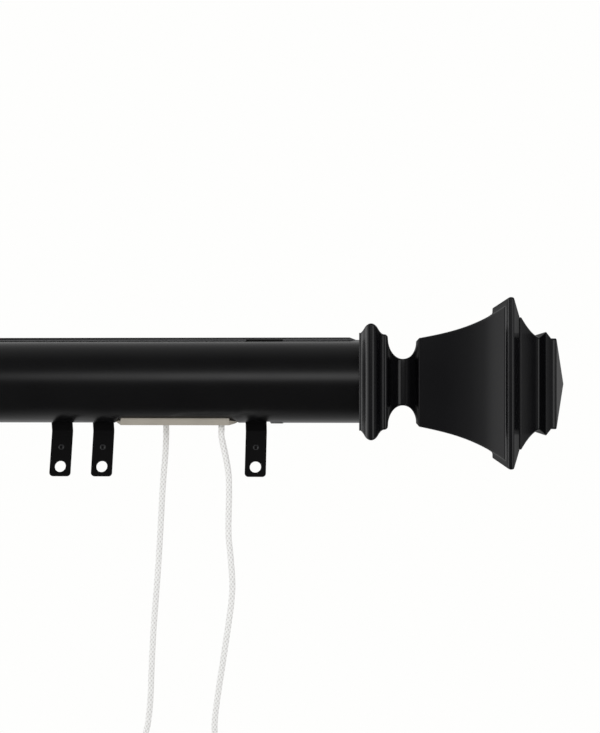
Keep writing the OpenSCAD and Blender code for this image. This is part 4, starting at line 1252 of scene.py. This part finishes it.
def hook_surface(hook, width):
    """The middle of the hook's sheet: the blank is bent by turning its heading from back to lean over an arc.

    The heading a(s) gives y = integral of sin a and z = -integral of cos a, and the dimple adds (1 + cos) / 2
    forward. The last result marks the faces on the dimple's slope, whose lighter paint is a painted highlight.
    """
    slope_start = 0.4
    slope_end = 0.95
    samples = 3000
    rings = 5
    upper, lower = hook_flat(hook, width)
    flat = np.concatenate([upper.reshape(-1, 2), lower.reshape(-1, 2)])
    faces = np.concatenate([
        grid_quads(*upper.shape[:2]), grid_quads(*lower.shape[:2], wrap=True) + upper[..., 0].size])
    table = np.linspace(0, hook.neck + hook.leaf, samples)
    half_arc = hook.bend_radius * (hook.back + hook.lean) / 2
    heading = np.interp(table, [hook.neck - half_arc, hook.neck + half_arc], [hook.back, -hook.lean])
    step = table[1]
    y = np.concatenate([[0], np.cumsum(np.sin(heading[:-1]) * step)])
    z = np.concatenate([[0], np.cumsum(-np.cos(heading[:-1]) * step)])
    across, down = flat.T
    dimple_at = hook.neck + hook.leaf - hook.eye_inset - hook.dimple_rise
    off = np.hypot(across, down - dimple_at) / hook.dimple_radius
    press = hook.dimple_height * np.where(off < 1, (1 + np.cos(math.pi * np.minimum(off, 1))) / 2, 0)
    tilt = np.interp(down, table, heading)
    leaf = np.stack([
        across, np.interp(down, table, y) - press * np.cos(tilt),
        np.interp(down, table, z) - press * np.sin(tilt)], axis=1)
    turn = np.linspace(0, math.tau, 40, endpoint=False)[None, :]
    roll = hook.knuckle - hook.sheet / 2
    knuckle_x = np.linspace(-width / 2, width / 2, rings)[:, None]
    knuckle = np.stack(np.broadcast_arrays(knuckle_x, roll * np.sin(turn), roll * np.cos(turn)), axis=-1)
    knuckle_faces = grid_quads(rings, turn.size, wrap=True) + len(leaf)
    # Faces on the dimple's slope get lighter paint: a painted highlight
    slope = off[faces].mean(axis=1)
    highlighted = np.zeros(len(faces) + len(knuckle_faces), np.int32)
    highlighted[:len(faces)] = (slope > slope_start) & (slope < slope_end)
    points = np.concatenate([leaf, knuckle.reshape(-1, 3)])
    return points, np.concatenate([faces, knuckle_faces]).tolist(), highlighted


class TRACK_OT_hooks(bpy.types.Operator):
    """Makes the eight bent hooks, each on its own pivot."""

    bl_idname = "track.hooks"
    bl_label = "Hooks"

    def execute(self, context):
        hook = context.scene.track_hook
        for source, body in HOOK_BODIES.items():
            low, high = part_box(source)
            pivot = np.array([(low.x + high.x) / 2, 0, high.z - hook.knuckle])
            points, faces, highlighted = hook_surface(hook, high.x - low.x)
            name = "bent_" + source
            mesh = new_mesh(name, points + pivot, faces)
            piece = make_piece(name, mesh, "hook_paint", body)
            # A second, lighter material paints a highlight on the dimples' slopes
            mesh.materials.append(finish("dimple_highlight_paint"))
            mesh.polygons.foreach_set("material_index", highlighted)
            merge(mesh, recalculate=True)
            thicken(piece, hook.sheet, 0)
            ease_edges(piece, hook.edge)
            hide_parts(source)
        return {"FINISHED"}


def step_plate_ends(plate, block):
    """Leaves a thin tongue beyond each end of the plate's flat length.

    The plate is cut at the flat's ends and at the tongues' height. Cut points on the upper slopes then move
    in to the flat's ends. Points at the tips rise, reach out, and come in to a share of their y, so that the
    tongues are pointed from above too. The top sinks and the underside rises a little.
    """
    flat = block.flat / 2
    level = PLATE_BOTTOM + block.tongue
    end, upright = (1, 0, 0), (0, 0, 1)
    cuts = [((BLOCK_X - flat, 0, 0), end), ((BLOCK_X + flat, 0, 0), end), ((0, 0, level), upright)]
    with editing(plate) as shape:
        for place, normal in cuts:
            geometry = [*shape.verts, *shape.edges, *shape.faces]
            bmesh.ops.bisect_plane(
                shape, geom=geometry, plane_co=place, plane_no=normal, dist=SAME_PLACE / 10)
    points = np.empty(3 * len(plate.vertices))
    plate.vertices.foreach_get("co", points)
    x, y, z = points.reshape(-1, 3).T
    side = np.sign(x - BLOCK_X)
    beyond = np.abs(x - BLOCK_X) > flat + SAME_PLACE
    slope = beyond & (np.abs(z - level) < SAME_PLACE)
    tip = beyond & ~slope
    top = ~beyond & (np.abs(z - PLATE_HIGH.z) < SAME_PLACE)
    under = ~beyond & (np.abs(z - PLATE_BOTTOM) < SAME_PLACE)
    x = np.where(slope, BLOCK_X + side * flat, x + tip * side * block.reach)
    y = np.where(tip, y * block.taper, y)
    z = z + tip * block.rise - top * block.sink + under * block.lift
    plate.vertices.foreach_set("co", np.stack([x, y, z], axis=1).ravel())
    merge(plate)


class TRACK_OT_pulley_block(bpy.types.Operator):
    """Finishes the pulley block under the rod: plate, housing, screws, pulleys and axles."""

    bl_idname = "track.pulley_block"
    bl_label = "Pulley block"

    def execute(self, context):
        soft = 0.25 * MM
        block = context.scene.track_block
        plate = eased_copy("plate_moulding", "saddle_plate", "plastic", "rod", soft)
        step_plate_ends(plate.data, block)
        eased_copy("housing_moulding", "pulley_housing", "plastic", "rod", soft)
        dress(["plate_screws", "rear_axle", "front_axle"], "zinc")
        dress(["rear_pulley", "front_pulley"], "nylon")
        return {"FINISHED"}


class TRACK_OT_carriers(bpy.types.Operator):
    """Finishes the sliders, masters, end stops, pins and ferrules inside the rod."""

    bl_idname = "track.carriers"
    bl_label = "Sliders and stops"

    def execute(self, context):
        soft = 0.2 * MM
        for side in ("right", "left"):
            for number in ("1", "2"):
                eased_copy(
                    f"slider_moulding_{side}_{number}", f"slider_{side}_{number}", "nylon",
                    f"{side}_carrier_{number}", soft)
            eased_copy(
                f"master_moulding_{side}", f"master_slider_{side}", "nylon", f"{side}_master",
                soft)
            eased_copy(f"stop_moulding_{side}", f"end_stop_{side}", "dark_nylon", "rod", soft)
            dress([f"pin_{side}_1", f"pin_{side}_2", f"master_pin_{side}", f"end_pin_{side}"], "zinc")
            dress([f"cord_ferrule_{side}"], "brass")
        return {"FINISHED"}


class TRACK_OT_ends(bpy.types.Operator):
    """Finishes the plugs, the studs and the return pulley in the rod's ends."""

    bl_idname = "track.ends"
    bl_label = "Plugs and return pulley"

    def execute(self, context):
        dress(["end_plug_right", "end_plug_left"], "dark_nylon")
        dress(["finial_stud_right", "finial_stud_left", "return_axle"], "zinc")
        dress(["return_fork"], "plastic")
        dress(["return_pulley"], "nylon")
        return {"FINISHED"}


STEPS = (
    TRACK_OT_stage, TRACK_OT_cord, TRACK_OT_rod, TRACK_OT_finials, TRACK_OT_hooks, TRACK_OT_pulley_block,
    TRACK_OT_carriers, TRACK_OT_ends)


class TRACK_PT_panel(bpy.types.Panel):
    """Lists the steps that make the track."""

    bl_idname = "TRACK_PT_panel"
    bl_label = "Corded curtain track"
    bl_space_type = "VIEW_3D"
    bl_region_type = "UI"
    bl_category = "Track"

    def draw(self, context):
        for step in STEPS:
            self.layout.operator(step.bl_idname)
        for name in SETTINGS:
            settings = getattr(context.scene, name)
            box = self.layout.box()
            for key in settings.__annotations__:
                box.prop(settings, key)


SETTINGS = {
    "track_rod": TrackRodSettings,
    "track_finial": TrackFinialSettings,
    "track_hook": TrackHookSettings,
    "track_block": TrackBlockSettings,
    "track_cord": TrackCordSettings,
    "track_finish": TrackFinishSettings,
    "track_studio": TrackStudioSettings,
}
CLASSES = (*SETTINGS.values(), *STEPS, TRACK_PT_panel)


def register():
    """Registers the classes and puts the settings on the scene."""
    for made in CLASSES:
        bpy.utils.register_class(made)
    for name, group in SETTINGS.items():
        setattr(bpy.types.Scene, name, bpy.props.PointerProperty(type=group))


def unregister():
    """Takes the settings off the scene and unregisters the classes."""
    for name in SETTINGS:
        delattr(bpy.types.Scene, name)
    for made in reversed(CLASSES):
        bpy.utils.unregister_class(made)


def main():
    register()
    bpy.ops.track.stage()
    bpy.ops.track.cord()
    bpy.ops.track.rod()
    bpy.ops.track.finials()
    bpy.ops.track.hooks()
    bpy.ops.track.pulley_block()
    bpy.ops.track.carriers()
    bpy.ops.track.ends()


if __name__ == "__main__":
    main()
